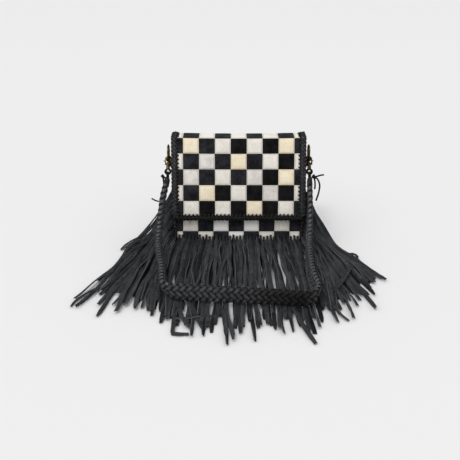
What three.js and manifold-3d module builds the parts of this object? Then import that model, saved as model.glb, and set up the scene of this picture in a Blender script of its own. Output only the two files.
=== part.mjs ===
// A small suede shoulder bag with a patchwork flap, braided edging, long fringe and a plaited strap.
// Millimetres, +Z up, front towards -Y. The origin is the centre of the base, where the bag stands.
import * as THREE from 'three';
import { mergeVertices } from 'three/addons/utils/BufferGeometryUtils.js';
import Module from 'manifold-3d';

const wasm = await Module();
wasm.setup();

// Driving dimensions
const GAP = 0.3;                    // clearance left between pieces that touch
const BODY_HALF_WIDTH = 102;        // outside of the gusset
const BASE_DEPTH = 65;              // front to back at the floor
const MOUTH_DEPTH = 25.2;           // front to back at the top
const BODY_HEIGHT = 162.7;          // floor to the top edge of the panels
const PANEL_THICKNESS = 2.4;
const LINING_THICKNESS = 0.8;
const LINING_DROP = 2.5;            // lining's edge below the mouth
const SEAM_BRAID_WIDTH = 4.5;
const SEAM_BRAID_PROUD = 0.8;       // ahead of the front panel's face
const SEAM_BRAID_OVERLAP = 1.3;     // beyond the gusset's side
const FLAP_THICKNESS = 3;
const FLAP_DROP = 129;              // fold line to the bottom edge, edging included
const FLAP_TILT = 17;               // degrees that the hanging flap leans out
const FLAP_OVERHANG = 4.5;          // flap beyond the gusset on each side
const FLAP_FOLD_RADIUS = 4;         // outside of the fold over the mouth
const FOLD_CLEARANCE = 1.2;         // flap's inner face in front of the panel's top edge
const EDGING_SIDE_WIDTH = 10.2;
const EDGING_BOTTOM_WIDTH = 8.4;
const EDGING_THICKNESS = 5;
const SNAP_RADIUS = 7;
const SNAP_HEIGHT = 2.6;
const SNAP_Z = 60;                  // height of the snap on the front panel
const SNAP_OFFSET = 1.5;            // how much higher its other half is on the leaning flap
const RING_RADIUS = 11;             // centre of the ring to the centre of its wire
const RING_WIRE = 1.4;
const RING_BEHIND = 14.5;           // ring's centre ahead of the back
const RING_DROP = 25.7;             // ring's centre below the mouth
const RING_CLEARANCE = 0.35;
const TAB_HALF_WIDTH = 3.3;
const TAB_LOOP = 4.2;               // outside radius of the leather around the ring
const TAB_DROP = 34;                // ring's lowest wire to the tab's lower end on the gusset
const TAB_LAYERS = 3.6;             // both layers of the tab where it is sewn down
const TAB_SEWN = 14;                // length sewn flat on the gusset
const HOOK_DROP = 50;               // degrees below level that the hooks hang
const HOOK_INSIDE = 3.2;            // half the inside width of the bow
const HOOK_ARM = 2;
const HOOK_THICKNESS = 2.2;
const HOOK_CLEARANCE = 0.5;         // between the bow and the flap's side
const BOW_INSIDE = 8;               // ring wire's centre to the shoulder
const NOSE_END = 2.2;               // ring wire's centre to the end of the bow's nose
const GATE_SETBACK = 0.7;           // gate's hinge ahead of the shoulder
const SHOULDER = 2.6;
const BARREL_RADIUS = 3;
const BARREL_LENGTH = 6;
const POST_RADIUS = 1.15;
const POST_CLEARANCE = 0.35;
const HEAD_RADIUS = 2;
const EYE_RADIUS = 4;
const EYE_WIRE = 1.2;
const LACE_LOOP_RADIUS = 4.6;
const LACE_WIRE = 1.5;
const KNOT_RADIUS = 4;
const TAIL_RADIUS = 1.3;
const STRAP_WIDTH = 24;
const STRAP_THICKNESS = 8;
const STRAP_STEPS = 80;
const FRINGE_GAP = 0.06;            // share of a lock's width left free on each side
const FRONT_STEPS = 14;             // steps along a lock of the front fringe
const SIDE_STEPS = 24;
const FRONT_LOCKS = 8;
const SIDE_LOCKS = 4;

// Sizes that follow
const radians = Math.PI / 180;
const tilt = Math.tan(FLAP_TILT * radians);
const frontFoot = -BASE_DEPTH / 2;
const back = BASE_DEPTH / 2;
const lean = (BASE_DEPTH - MOUTH_DEPTH) / BODY_HEIGHT;
const panelSlant = PANEL_THICKNESS * Math.hypot(1, lean);
const liningSlant = LINING_THICKNESS * Math.hypot(1, lean);
const gapSlant = GAP * Math.hypot(1, lean);
const panelHalfWidth = BODY_HALF_WIDTH + SEAM_BRAID_OVERLAP - SEAM_BRAID_WIDTH - GAP;
const gussetInside = BODY_HALF_WIDTH - PANEL_THICKNESS;
const flapUnderside = BODY_HEIGHT + GAP;
const flapHalfWidth = BODY_HALF_WIDTH + FLAP_OVERHANG;
const flapPanelHalf = flapHalfWidth - EDGING_SIDE_WIDTH - GAP;
const flapInnerSlant = FLAP_THICKNESS * Math.hypot(1, tilt);
const ringY = back - RING_BEHIND;
const ringZ = BODY_HEIGHT - RING_DROP;
const flapCorner = frontOf(BODY_HEIGHT) - FOLD_CLEARANCE;
const hookHalfWidth = HOOK_INSIDE + HOOK_ARM;
const ringX = flapHalfWidth + hookHalfWidth + HOOK_CLEARANCE;
const tabHole = RING_WIRE + RING_CLEARANCE;

const suedeBlack = finish(0x1c1c1f, 0.9);
const suedeCharcoal = finish(0x2e2f31, 0.92);
const suedeWhite = finish(0xded9cf, 0.88);
const leatherBlack = finish(0x151516, 0.7);
const cloth = finish(0x57524a, 0.95);
const brass = finish(0xb8924a, 0.3, 1);
const steel = finish(0xa9a7a1, 0.35, 1);

function finish(color, roughness, metalness = 0) {
  return new THREE.MeshStandardMaterial({ color, roughness, metalness });
}

// Outer face of the front panel at a height
function frontOf(z) {
  return frontFoot + lean * z;
}

// Inner face of the hanging flap at a height
function flapInnerOf(z) {
  return flapCorner - (flapUnderside - z) * tilt;
}

const group = new THREE.Group();

function addPiece(name, geometry, material) {
  const mesh = new THREE.Mesh(geometry, material);
  mesh.name = name;
  group.add(mesh);
}

function closed(geometry) {
  const bare = geometry.index ? geometry.toNonIndexed() : geometry.clone();
  for (const name of Object.keys(bare.attributes)) {
    if (name !== 'position') bare.deleteAttribute(name);
  }
  return mergeVertices(bare, 1e-4);
}

function solidOf(geometry) {
  const merged = closed(geometry);
  return new wasm.Manifold(new wasm.Mesh({
    numProp: 3,
    vertProperties: new Float32Array(merged.attributes.position.array),
    triVerts: new Uint32Array(merged.index.array),
  }));
}

function geometryOf(solid) {
  const mesh = solid.getMesh();
  const geometry = new THREE.BufferGeometry();
  geometry.setAttribute('position', new THREE.BufferAttribute(new Float32Array(mesh.vertProperties), 3));
  geometry.setIndex(new THREE.BufferAttribute(new Uint32Array(mesh.triVerts), 1));
  return geometry;
}

function united(...geometries) {
  return geometryOf(geometries.map(solidOf).reduce((all, one) => all.add(one)));
}

function cut(geometry, ...tools) {
  return geometryOf(tools.map(solidOf).reduce((all, one) => all.subtract(one), solidOf(geometry)));
}

function outline(points) {
  return new THREE.Shape(points.map(([x, y]) => new THREE.Vector2(x, y)));
}

// A prism along X from a closed side outline of [y, z] points
function alongX(points, from, to) {
  const geometry = new THREE.ExtrudeGeometry(outline(points), { depth: to - from, bevelEnabled: false });
  geometry.applyMatrix4(new THREE.Matrix4().set(0, 0, 1, from, 1, 0, 0, 0, 0, 1, 0, 0, 0, 0, 0, 1));
  return geometry;
}

function cylinderBetween(start, end, radius, sides = 20) {
  const way = new THREE.Vector3().subVectors(end, start);
  const geometry = new THREE.CylinderGeometry(radius, radius, way.length(), sides);
  geometry.translate(0, way.length() / 2, 0);
  const turn = new THREE.Quaternion().setFromUnitVectors(new THREE.Vector3(0, 1, 0), way.normalize());
  geometry.applyQuaternion(turn);
  return geometry.translate(start.x, start.y, start.z);
}

function tubeAlong(points, radius, steps, curveSegments = 4) {
  const section = new THREE.Shape().absarc(0, 0, radius, 0, 2 * Math.PI);
  const extrudePath = new THREE.CatmullRomCurve3(points, false, 'centripetal');
  return new THREE.ExtrudeGeometry(section, { steps, curveSegments, extrudePath, bevelEnabled: false });
}

// The body: two panels, a gusset, four seam braids and a lining
function slab(outer, inner, bottom, top) {
  return [[outer(bottom), bottom], [inner(bottom), bottom], [inner(top), top], [outer(top), top]];
}

function makeFrontPanel() {
  const face = slab(frontOf, (z) => frontOf(z) + panelSlant, 0, BODY_HEIGHT);
  return alongX(face, -panelHalfWidth, panelHalfWidth);
}

function makeBackPanel() {
  const face = slab(() => back - PANEL_THICKNESS, () => back, 0, BODY_HEIGHT);
  return alongX(face, -panelHalfWidth, panelHalfWidth);
}

const insideFront = (z) => frontOf(z) + panelSlant + gapSlant;
const insideBack = () => back - PANEL_THICKNESS - GAP;

function makeGusset() {
  const block = alongX(slab(insideFront, insideBack, 0, BODY_HEIGHT), -BODY_HALF_WIDTH, BODY_HALF_WIDTH);
  const reach = 5;
  const hollow = slab(
    (z) => insideFront(z) - reach, () => insideBack() + reach, PANEL_THICKNESS, BODY_HEIGHT + reach);
  return cut(block, alongX(hollow, -gussetInside, gussetInside));
}

function makeSeamBraid(side, outer, inner) {
  const near = panelHalfWidth + GAP;
  const ends = [side * near, side * (near + SEAM_BRAID_WIDTH)].sort((a, b) => a - b);
  return alongX(slab(outer, inner, 0, BODY_HEIGHT), ends[0], ends[1]);
}

function makeLining() {
  const top = BODY_HEIGHT - LINING_DROP;
  const foot = PANEL_THICKNESS + GAP;
  const outside = gussetInside - GAP;
  const inside = outside - LINING_THICKNESS;
  const shell = alongX(slab(insideFront, insideBack, foot, top), -outside, outside);
  const clothFront = (z) => insideFront(z) + liningSlant;
  const clothBack = () => insideBack() - LINING_THICKNESS;
  const hollow = slab(clothFront, clothBack, foot + LINING_THICKNESS, top + 5);
  return cut(shell, alongX(hollow, -inside, inside));
}

function addBody() {
  addPiece('front_panel', makeFrontPanel(), suedeBlack);
  addPiece('back_panel', makeBackPanel(), suedeBlack);
  addPiece('gusset', makeGusset(), suedeBlack);
  for (const [name, side] of [['left', -1], ['right', 1]]) {
    const frontEdge = (z) => frontOf(z) - SEAM_BRAID_PROUD;
    const frontInner = (z) => frontOf(z) + panelSlant;
    addPiece(`seam_braid_front_${name}`, makeSeamBraid(side, frontEdge, frontInner), leatherBlack);
    const backInner = () => back - PANEL_THICKNESS;
    addPiece(`seam_braid_back_${name}`, makeSeamBraid(side, backInner, () => back), leatherBlack);
  }
  addPiece('lining', makeLining(), cloth);
}

// The flap: a folded panel with a braided edging on three sides.
// The inner line runs from the back edge over the mouth and down the front; the outer line is offset from it.
function flapLine(offset, length) {
  const down = new THREE.Vector2(-Math.sin(FLAP_TILT * radians), -Math.cos(FLAP_TILT * radians));
  const out = new THREE.Vector2(-Math.cos(FLAP_TILT * radians), Math.sin(FLAP_TILT * radians));
  const bend = (90 - FLAP_TILT) * radians;
  const innerRadius = FLAP_FOLD_RADIUS - FLAP_THICKNESS;
  const corner = new THREE.Vector2(flapCorner, flapUnderside);
  const setback = innerRadius * Math.tan(bend / 2);
  const centre = new THREE.Vector2(corner.x + setback, corner.y - innerRadius);
  const points = [[back, flapUnderside + offset]];
  const steps = 6;
  for (let i = 0; i <= steps; i += 1) {
    const angle = Math.PI / 2 + (bend * i) / steps;
    const radius = innerRadius + offset;
    points.push([centre.x + radius * Math.cos(angle), centre.y + radius * Math.sin(angle)]);
  }
  const end = corner.clone().addScaledVector(down, length).addScaledVector(out, offset);
  points.push([end.x, end.y]);
  return points;
}

function flapOutline(thickness, length) {
  return [...flapLine(0, length), ...flapLine(thickness, length).reverse()];
}

function makeFlapPanel() {
  return alongX(flapOutline(FLAP_THICKNESS, flapPanelDrop), -flapPanelHalf, flapPanelHalf);
}

const flapPanelDrop = FLAP_DROP - EDGING_BOTTOM_WIDTH - GAP;

function makeFlapEdging() {
  const whole = alongX(flapOutline(EDGING_THICKNESS, FLAP_DROP), -flapHalfWidth, flapHalfWidth);
  const inner = flapPanelHalf + GAP;
  const beyond = 1;
  const above = 2 * EDGING_THICKNESS;
  const length = FLAP_DROP - EDGING_BOTTOM_WIDTH;
  const middle = [...flapLine(-beyond, length), ...flapLine(above, length).reverse()];
  middle[0][0] += beyond;
  middle[middle.length - 1][0] += beyond;
  return cut(whole, alongX(middle, -inner, inner));
}

// The snap's two halves, at the same height on the flap and on the front panel
function makeDisc(face, outward, height) {
  const start = new THREE.Vector3(0, face.y, face.z).addScaledVector(outward, GAP);
  return cylinderBetween(start, start.clone().addScaledVector(outward, height), SNAP_RADIUS, 28);
}

function addFlap() {
  addPiece('flap_panel', makeFlapPanel(), suedeWhite);
  addPiece('flap_edging', makeFlapEdging(), leatherBlack);
  const panelOut = new THREE.Vector3(0, -1, lean).normalize();
  const flapIn = new THREE.Vector3(0, Math.cos(FLAP_TILT * radians), -Math.sin(FLAP_TILT * radians));
  const onPanel = { y: frontOf(SNAP_Z), z: SNAP_Z };
  const onFlap = { y: flapInnerOf(SNAP_Z + SNAP_OFFSET), z: SNAP_Z + SNAP_OFFSET };
  addPiece('snap_socket', makeDisc(onPanel, panelOut, SNAP_HEIGHT), steel);
  addPiece('snap_stud', makeDisc(onFlap, flapIn, SNAP_HEIGHT), steel);
}

// A ring on each side, in a leather tab sewn to the gusset
function makeTab(side) {
  const loop = new THREE.Vector2(ringX, ringZ - RING_RADIUS);
  const foot = loop.y - TAB_DROP;
  const sewn = BODY_HALF_WIDTH + GAP;
  const [arcStart, arcEnd] = [-62 * radians, 200 * radians];
  const outer = new THREE.Shape();
  outer.moveTo(sewn, foot);
  outer.lineTo(sewn + TAB_LAYERS, foot);
  outer.lineTo(sewn + TAB_LAYERS, foot + TAB_SEWN);
  outer.absarc(loop.x, loop.y, TAB_LOOP, arcStart, arcEnd, false);
  outer.lineTo(sewn, foot + TAB_SEWN);
  const options = { depth: 2 * TAB_HALF_WIDTH, bevelEnabled: false, curveSegments: 20 };
  const geometry = new THREE.ExtrudeGeometry(outer, options);
  geometry.rotateX(Math.PI / 2).translate(0, ringY + TAB_HALF_WIDTH, 0);
  const room = makeTorus(ringX, ringY, ringZ, RING_RADIUS, tabHole, 10, 40);
  const tab = cut(geometry, room);
  return side < 0 ? mirrored(tab) : tab;
}

function makeTorus(x, y, z, radius, wire, sides = 8, steps = 30) {
  const geometry = new THREE.TorusGeometry(radius, wire, sides, steps);
  geometry.rotateY(Math.PI / 2);
  return geometry.translate(x, y, z);
}

function mirrored(geometry) {
  const copy = closed(geometry);
  copy.scale(-1, 1, 1);
  const index = Array.from(copy.index.array);
  for (let i = 0; i < index.length; i += 3) [index[i], index[i + 1]] = [index[i + 1], index[i]];
  copy.setIndex(index);
  return copy;
}

// Hooks are drawn in a flat frame: x across the bow, y along the hook from the ring's wire, z through it.
function placeHook(geometry, side) {
  const along = new THREE.Vector3(0, -Math.cos(HOOK_DROP * radians), -Math.sin(HOOK_DROP * radians));
  const across = new THREE.Vector3(side, 0, 0);
  const through = new THREE.Vector3().crossVectors(across, along);
  const matrix = new THREE.Matrix4().makeBasis(across, along, through);
  const start = new THREE.Vector3(side * ringX, ringY, ringZ).addScaledVector(along, RING_RADIUS);
  matrix.setPosition(start);
  const copy = closed(geometry);
  copy.applyMatrix4(matrix);
  return copy;
}

function flat(shape, thickness, curveSegments = 16) {
  const geometry = new THREE.ExtrudeGeometry(shape, { depth: thickness, bevelEnabled: false, curveSegments });
  return geometry.translate(0, 0, -thickness / 2);
}

const crownCentre = HOOK_INSIDE - RING_WIRE - RING_CLEARANCE;
const gateWidth = HOOK_ARM - 0.1;
const hinge = new THREE.Vector2(hookHalfWidth - gateWidth / 2, BOW_INSIDE - GATE_SETBACK);
const barrelEnd = BOW_INSIDE + SHOULDER + BARREL_LENGTH;

function makeHook() {
  const bow = new THREE.Shape();
  bow.moveTo(-hookHalfWidth, BOW_INSIDE + SHOULDER);
  bow.lineTo(-hookHalfWidth, crownCentre);
  bow.absarc(0, crownCentre, hookHalfWidth, Math.PI, 2 * Math.PI, false);
  bow.lineTo(hookHalfWidth, BOW_INSIDE + SHOULDER);
  const inside = new THREE.Shape();
  inside.moveTo(-HOOK_INSIDE, BOW_INSIDE);
  inside.lineTo(-HOOK_INSIDE, crownCentre);
  inside.absarc(0, crownCentre, HOOK_INSIDE, Math.PI, 2 * Math.PI, false);
  inside.lineTo(HOOK_INSIDE, BOW_INSIDE);
  const thick = 3 * HOOK_THICKNESS;
  const gateGap = new THREE.BoxGeometry(2 * HOOK_ARM, BOW_INSIDE - NOSE_END, thick);
  gateGap.translate(HOOK_INSIDE + HOOK_ARM, (BOW_INSIDE + NOSE_END) / 2, 0);
  const seat = new THREE.CylinderGeometry(HOOK_ARM / 2 + 0.3, HOOK_ARM / 2 + 0.3, thick, 20);
  seat.rotateX(Math.PI / 2).translate(hinge.x, hinge.y, 0);
  const boreRadius = POST_RADIUS + POST_CLEARANCE;
  const boreLength = 4 * BARREL_LENGTH;
  const bore = new THREE.CylinderGeometry(boreRadius, boreRadius, boreLength, 20);
  bore.translate(0, BOW_INSIDE - 1 + boreLength / 2, 0);
  const barrel = new THREE.CylinderGeometry(BARREL_RADIUS, BARREL_RADIUS, BARREL_LENGTH + 1, 24);
  barrel.translate(0, barrelEnd - (BARREL_LENGTH + 1) / 2, 0);
  const body = united(flat(bow, HOOK_THICKNESS), barrel);
  const collarFloor = new THREE.BoxGeometry(2 * BARREL_RADIUS, SHOULDER, 2 * BARREL_RADIUS - 0.6);
  collarFloor.translate(0, BOW_INSIDE + SHOULDER / 2, 0);
  return cut(united(body, collarFloor), flat(inside, thick), gateGap, seat, bore);
}

function makeGate() {
  const reach = hinge.y - NOSE_END - GAP;
  const bar = new THREE.BoxGeometry(gateWidth, reach, HOOK_THICKNESS - 0.4);
  bar.translate(hinge.x, hinge.y - reach / 2, 0);
  const end = new THREE.CylinderGeometry(gateWidth / 2, gateWidth / 2, HOOK_THICKNESS - 0.4, 20);
  end.rotateX(Math.PI / 2).translate(hinge.x, hinge.y, 0);
  const knob = new THREE.CylinderGeometry(0.9, 0.7, 2.2, 12);
  knob.rotateZ(Math.PI / 2).translate(hookHalfWidth + 0.8, NOSE_END + 2, 0);
  return united(bar, end, knob);
}

function makeEye() {
  const head = new THREE.CylinderGeometry(HEAD_RADIUS, HEAD_RADIUS, 1, 20);
  head.translate(0, BOW_INSIDE - POST_CLEARANCE - 0.5, 0);
  const postEnd = barrelEnd + 2.4;
  const post = new THREE.CylinderGeometry(POST_RADIUS, POST_RADIUS, postEnd - BOW_INSIDE + 1, 16);
  post.translate(0, (postEnd + BOW_INSIDE - 1) / 2, 0);
  const collar = new THREE.CylinderGeometry(BARREL_RADIUS - 0.4, BARREL_RADIUS - 0.4, 1.2, 20);
  collar.translate(0, barrelEnd + POST_CLEARANCE + 0.6, 0);
  const loop = new THREE.TorusGeometry(EYE_RADIUS, EYE_WIRE, 8, 20);
  loop.translate(0, eyeCentre, 0);
  return united(head, post, collar, loop);
}

const eyeCentre = barrelEnd + 1.2 + EYE_RADIUS + EYE_WIRE;
const laceCentre = eyeCentre + EYE_RADIUS - EYE_WIRE - GAP - LACE_WIRE + LACE_LOOP_RADIUS + 0.1;
const strapStart = laceCentre + LACE_LOOP_RADIUS + LACE_WIRE + GAP;

// The lace loop through the eye, its knot beside the strap and the lace's loose ends, from the knot
const TIE_ENDS = {
  left: [[[4, 2, -8], [5, -4, -17], [8, -8, -24], [15, -10, -26], [19, -11, -27]]],
  right: [
    [[5, 0, 1], [10, -1, 3], [15, -2, 4]],
    [[1.5, -1, -7], [2, -2, -14], [1.5, -3, -20]],
    [[5, -1, -3], [9, -3, -12], [8, -5, -24], [4, -7, -38]],
  ],
};

function makeTie(name, side) {
  const loop = new THREE.TorusGeometry(LACE_LOOP_RADIUS, LACE_WIRE, 8, 20);
  loop.rotateY(Math.PI / 2).translate(0, laceCentre, 0);
  const knotAt = new THREE.Vector3(STRAP_THICKNESS / 2 + KNOT_RADIUS - 0.6, laceCentre + 3, 0);
  const knot = new THREE.SphereGeometry(KNOT_RADIUS, 12, 8).translate(knotAt.x, knotAt.y, knotAt.z);
  const neckAt = new THREE.Vector3(0.5, laceCentre + LACE_LOOP_RADIUS - 0.8, 0);
  const neck = cylinderBetween(neckAt, knotAt, LACE_WIRE, 12);
  let whole = solidOf(placeHook(united(loop, knot, neck), side));
  const placedKnot = placeHook(new THREE.SphereGeometry(0.01, 8, 6).translate(...knotAt.toArray()), side);
  placedKnot.computeBoundingSphere();
  const centre = placedKnot.boundingSphere.center;
  for (const end of TIE_ENDS[name]) {
    const points = end.map(([x, y, z]) => new THREE.Vector3(centre.x + side * x, centre.y + y, centre.z + z));
    whole = whole.add(solidOf(tubeAlong([centre.clone(), ...points], TAIL_RADIUS, 3 * points.length + 3)));
  }
  return geometryOf(whole);
}

function addHardware() {
  for (const [name, side] of [['left', -1], ['right', 1]]) {
    addPiece(`ring_tab_${name}`, makeTab(side), leatherBlack);
    addPiece(`ring_${name}`, makeTorus(side * ringX, ringY, ringZ, RING_RADIUS, RING_WIRE), brass);
    addPiece(`snap_hook_${name}`, orient(placeHook(makeHook(), side)), brass);
    addPiece(`hook_gate_${name}`, orient(placeHook(makeGate(), side)), brass);
    addPiece(`swivel_eye_${name}`, orient(placeHook(makeEye(), side)), brass);
    addPiece(`strap_tie_${name}`, orient(makeTie(name, side)), leatherBlack);
  }
}

// A flipped frame turns faces inwards, so they are turned out again.
function orient(geometry) {
  const { array } = geometry.attributes.position;
  const index = geometry.index.array;
  const [a, b, c] = [0, 1, 2].map(() => new THREE.Vector3());
  let volume = 0;
  for (let i = 0; i < index.length; i += 3) {
    a.fromArray(array, index[i] * 3);
    b.fromArray(array, index[i + 1] * 3);
    c.fromArray(array, index[i + 2] * 3);
    volume += a.dot(b.cross(c));
  }
  if (volume < 0) {
    for (let i = 0; i < index.length; i += 3) [index[i], index[i + 1]] = [index[i + 1], index[i]];
  }
  return geometry;
}

// The plaited strap's centre line, from the left hook over the fringe to the right hook:
// across as a share of the rings' distance, forward from the foot of the front panel, and height
const STRAP_ROUTE = [
  [-1.029, -13.5, 92], [-1.059, -4.5, 78], [-1.084, 9.5, 56], [-1.098, 27.5, 36], [-1.101, 49.5, 24],
  [-1.084, 68.5, 21.2], [-1.057, 88.5, 21], [-1.009, 117.5, 21], [-0.964, 147.5, 21], [-0.936, 171.5, 21],
  [-0.9, 187.5, 21], [-0.784, 196, 21], [-0.446, 200.5, 21], [0, 206, 21], [0.446, 211.5, 21],
  [0.749, 215.5, 21], [0.865, 210.5, 21], [0.909, 195.5, 21], [0.896, 172.5, 21], [0.887, 147.5, 21],
  [0.9, 117.5, 21], [0.918, 88.5, 21], [0.934, 68.5, 21.2], [0.952, 49.5, 24], [0.977, 27.5, 36],
  [0.993, 9.5, 56], [0.998, -4.5, 78], [0.999, -13.5, 92],
];

function makeStrap() {
  const along = new THREE.Vector3(0, -Math.cos(HOOK_DROP * radians), -Math.sin(HOOK_DROP * radians));
  const ends = [-1, 1].map((side) =>
    new THREE.Vector3(side * ringX, ringY, ringZ).addScaledVector(along, RING_RADIUS + strapStart));
  const middle = STRAP_ROUTE.map(([across, forward, z]) =>
    new THREE.Vector3(across * ringX, frontFoot - forward, z));
  const extrudePath = new THREE.CatmullRomCurve3([ends[0], ...middle, ends[1]], false, 'centripetal');
  const section = new THREE.Shape();
  const [w, h, r] = [STRAP_THICKNESS / 2, STRAP_WIDTH / 2, 2];
  section.moveTo(-w + r, -h).lineTo(w - r, -h).lineTo(w, -h + r).lineTo(w, h - r);
  section.lineTo(w - r, h).lineTo(-w + r, h).lineTo(-w, h - r).lineTo(-w, -h + r);
  return new THREE.ExtrudeGeometry(section, { steps: STRAP_STEPS, extrudePath, bevelEnabled: false });
}

// The fringe: each lock stands for several strips laced in side by side.
// A rib is the line of one strip: its root, where it meets the floor, its middle and its tip.
// Each point is how far out it is beyond the gusset's side (on the front, across as a share of half
// the width), how far forward of the front panel's foot, and its height.
const FRINGE = {
  left: [
    [[1.5, -8.5, 12], [11, 13.5, 6], [18, 117.5, 2.8], [22, 229.5, 2]],
    [[1, -24.5, 46], [26, -2.5, 6], [48, 102.5, 2.8], [74, 217.5, 2]],
    [[0.8, -40.5, 84], [48, -28.5, 6], [82, 75.5, 2.8], [126, 181.5, 2]],
  ],
  front: [
    [[-0.96, -2.1, 13], [-0.99, 23.5, 6.5], [-1.04, 127.5, 2.8], [-1.05, 242.5, 2]],
    [[-0.48, -2.1, 13], [-0.49, 25.5, 6.5], [-0.52, 137.5, 2.8], [-0.54, 275.5, 2]],
    [[0, -2.1, 13], [0, 25.5, 6.5], [0, 142.5, 2.8], [0.02, 287.5, 2]],
    [[0.48, -2.1, 13], [0.49, 25.5, 6.5], [0.53, 137.5, 2.8], [0.57, 275.5, 2]],
    [[0.96, -2.1, 13], [0.99, 23.5, 6.5], [1.06, 132.5, 2.8], [1.1, 259.5, 2]],
  ],
  right: [
    [[0.9, -40.5, 84], [48, 13.5, 6], [74, 65.5, 2.8], [106, 127.5, 2]],
    [[1, -24.5, 46], [29, 7.5, 6], [50, 95.5, 2.8], [76, 193.5, 2]],
    [[1.5, -8.5, 12], [11, 13.5, 6], [20, 117.5, 2.8], [29, 239.5, 2]],
  ],
};
const ACROSS = {
  left: (out) => -BODY_HALF_WIDTH - out,
  front: (share) => share * BODY_HALF_WIDTH,
  right: (out) => BODY_HALF_WIDTH + out,
};
const FRINGE_THICKNESS = [2.6, 5.2, 4.6, 2.4];
const FAN_STEP = 0.01;

function ribAt(ribs, share) {
  const points = ribs[0].map((_, i) => {
    const across = ribs.map((rib) => new THREE.Vector3(...rib[i]));
    return new THREE.CatmullRomCurve3(across, false, 'catmullrom').getPoint(share);
  });
  return new THREE.CatmullRomCurve3(points, false, 'centripetal');
}

function mixed(values, share) {
  const place = share * (values.length - 1);
  const first = Math.min(Math.floor(place), values.length - 2);
  return THREE.MathUtils.lerp(values[first], values[first + 1], place - first);
}

// A point of the fringe: share across the fan, along a strip and out from its middle
function fringePoint(ribs, share, along, out) {
  const near = Math.min(Math.max(share, FAN_STEP), 1 - FAN_STEP);
  const [before, after] = [near - FAN_STEP, near + FAN_STEP].map((at) => ribAt(ribs, at).getPoint(along));
  const across = after.sub(before);
  const rib = ribAt(ribs, share);
  const normal = across.cross(rib.getTangent(along)).normalize();
  const point = rib.getPoint(along).addScaledVector(normal, out * mixed(FRINGE_THICKNESS, along));
  point.z = Math.max(point.z, 0);
  return point;
}

function makeLock(ribs, from, to, steps) {
  const geometry = closed(new THREE.BoxGeometry(1, 1, 1, steps, 2, 1));
  const { position } = geometry.attributes;
  const corner = new THREE.Vector3();
  for (let i = 0; i < position.count; i += 1) {
    corner.fromBufferAttribute(position, i);
    const share = THREE.MathUtils.lerp(from, to, corner.y + 0.5);
    position.setXYZ(i, ...fringePoint(ribs, share, corner.x + 0.5, corner.z).toArray());
  }
  return orient(geometry);
}

function addFringe() {
  for (const [place, lines] of Object.entries(FRINGE)) {
    const point = ([x, forward, z]) => [ACROSS[place](x), frontFoot - forward, z];
    const ribs = lines.map((line) => line.map(point));
    const [count, steps] = place === 'front' ? [FRONT_LOCKS, FRONT_STEPS] : [SIDE_LOCKS, SIDE_STEPS];
    for (let i = 0; i < count; i += 1) {
      const from = (i + FRINGE_GAP) / count;
      const to = (i + 1 - FRINGE_GAP) / count;
      addPiece(`fringe_${place}_${i + 1}`, makeLock(ribs, from, to, steps), suedeCharcoal);
    }
  }
}

addBody();
addFlap();
addHardware();
addPiece('strap', makeStrap(), suedeCharcoal);
addFringe();

export default group;
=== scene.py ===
"""A small fringed suede shoulder bag: its cut and sewn pieces, laid over the fixed model."""
import math

import bpy
import numpy as np
from mathutils import Matrix, Vector, noise


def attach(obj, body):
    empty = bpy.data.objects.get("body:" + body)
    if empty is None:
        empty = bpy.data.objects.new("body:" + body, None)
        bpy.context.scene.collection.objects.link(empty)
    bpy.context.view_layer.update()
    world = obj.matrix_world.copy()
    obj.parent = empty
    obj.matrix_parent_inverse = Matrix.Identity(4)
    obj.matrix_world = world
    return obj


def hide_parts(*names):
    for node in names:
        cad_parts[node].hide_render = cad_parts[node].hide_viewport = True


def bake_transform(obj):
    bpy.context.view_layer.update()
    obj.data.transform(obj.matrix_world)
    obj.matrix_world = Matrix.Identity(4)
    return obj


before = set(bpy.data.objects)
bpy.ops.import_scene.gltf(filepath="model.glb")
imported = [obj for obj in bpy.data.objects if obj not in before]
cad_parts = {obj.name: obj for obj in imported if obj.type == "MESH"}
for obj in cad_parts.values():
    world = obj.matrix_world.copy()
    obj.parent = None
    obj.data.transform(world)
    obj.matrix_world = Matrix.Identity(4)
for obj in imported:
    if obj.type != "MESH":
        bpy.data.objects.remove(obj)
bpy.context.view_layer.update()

# The bag's own sizes, in metres
BODY_HALF = 0.102
BODY_TOP = 0.1627
FOOT = -0.0325
BACK = 0.0325
LEAN = 0.2446
PANEL = 0.0024
PANEL_HALF = 0.0985
RING_AT = Vector((0.1122, 0.018, 0.137))
HOOK_WAY = Vector((0, -math.cos(math.radians(50)), -math.sin(math.radians(50))))
STRAP_FROM = 0.0453

# The flap, measured down its outer face from the fold
FLAP_WALL = 0.003
FLAP_TILT = math.radians(17)
FOLD_RADIUS = 0.004
FOLD_AT = Vector((0, 0.00684, 0.162))
FOLD_TURN = math.pi / 2 - FLAP_TILT
FLAP_HALF = 0.096
FLAP_BACK = -0.0282
FLAP_FOOT = 0.123
FLAP_SAG = 0.0013
SQUARE = 0.025
BODY_SQUARE = 0.0245
BODY_SEAM_X = 0.0086
BODY_SEAM_Z = 0.0184


def smooth(share):
    """0 to 1, easing in and out."""
    share = min(max(share, 0.0), 1.0)
    return share * share * (3 - 2 * share)


def wander(seed, distance, length):
    """A smooth wandering value from about -1 to 1 that is the same on every run."""
    return noise.noise(Vector((seed * 7.31 + 0.5, distance / length, seed * 3.17))) * 1.8


def chance(seed):
    """A steady stand-in for a throw of the dice, from 0 to 1."""
    return (math.sin(seed * 127.1 + 311.7) * 43758.5453) % 1.0


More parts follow.
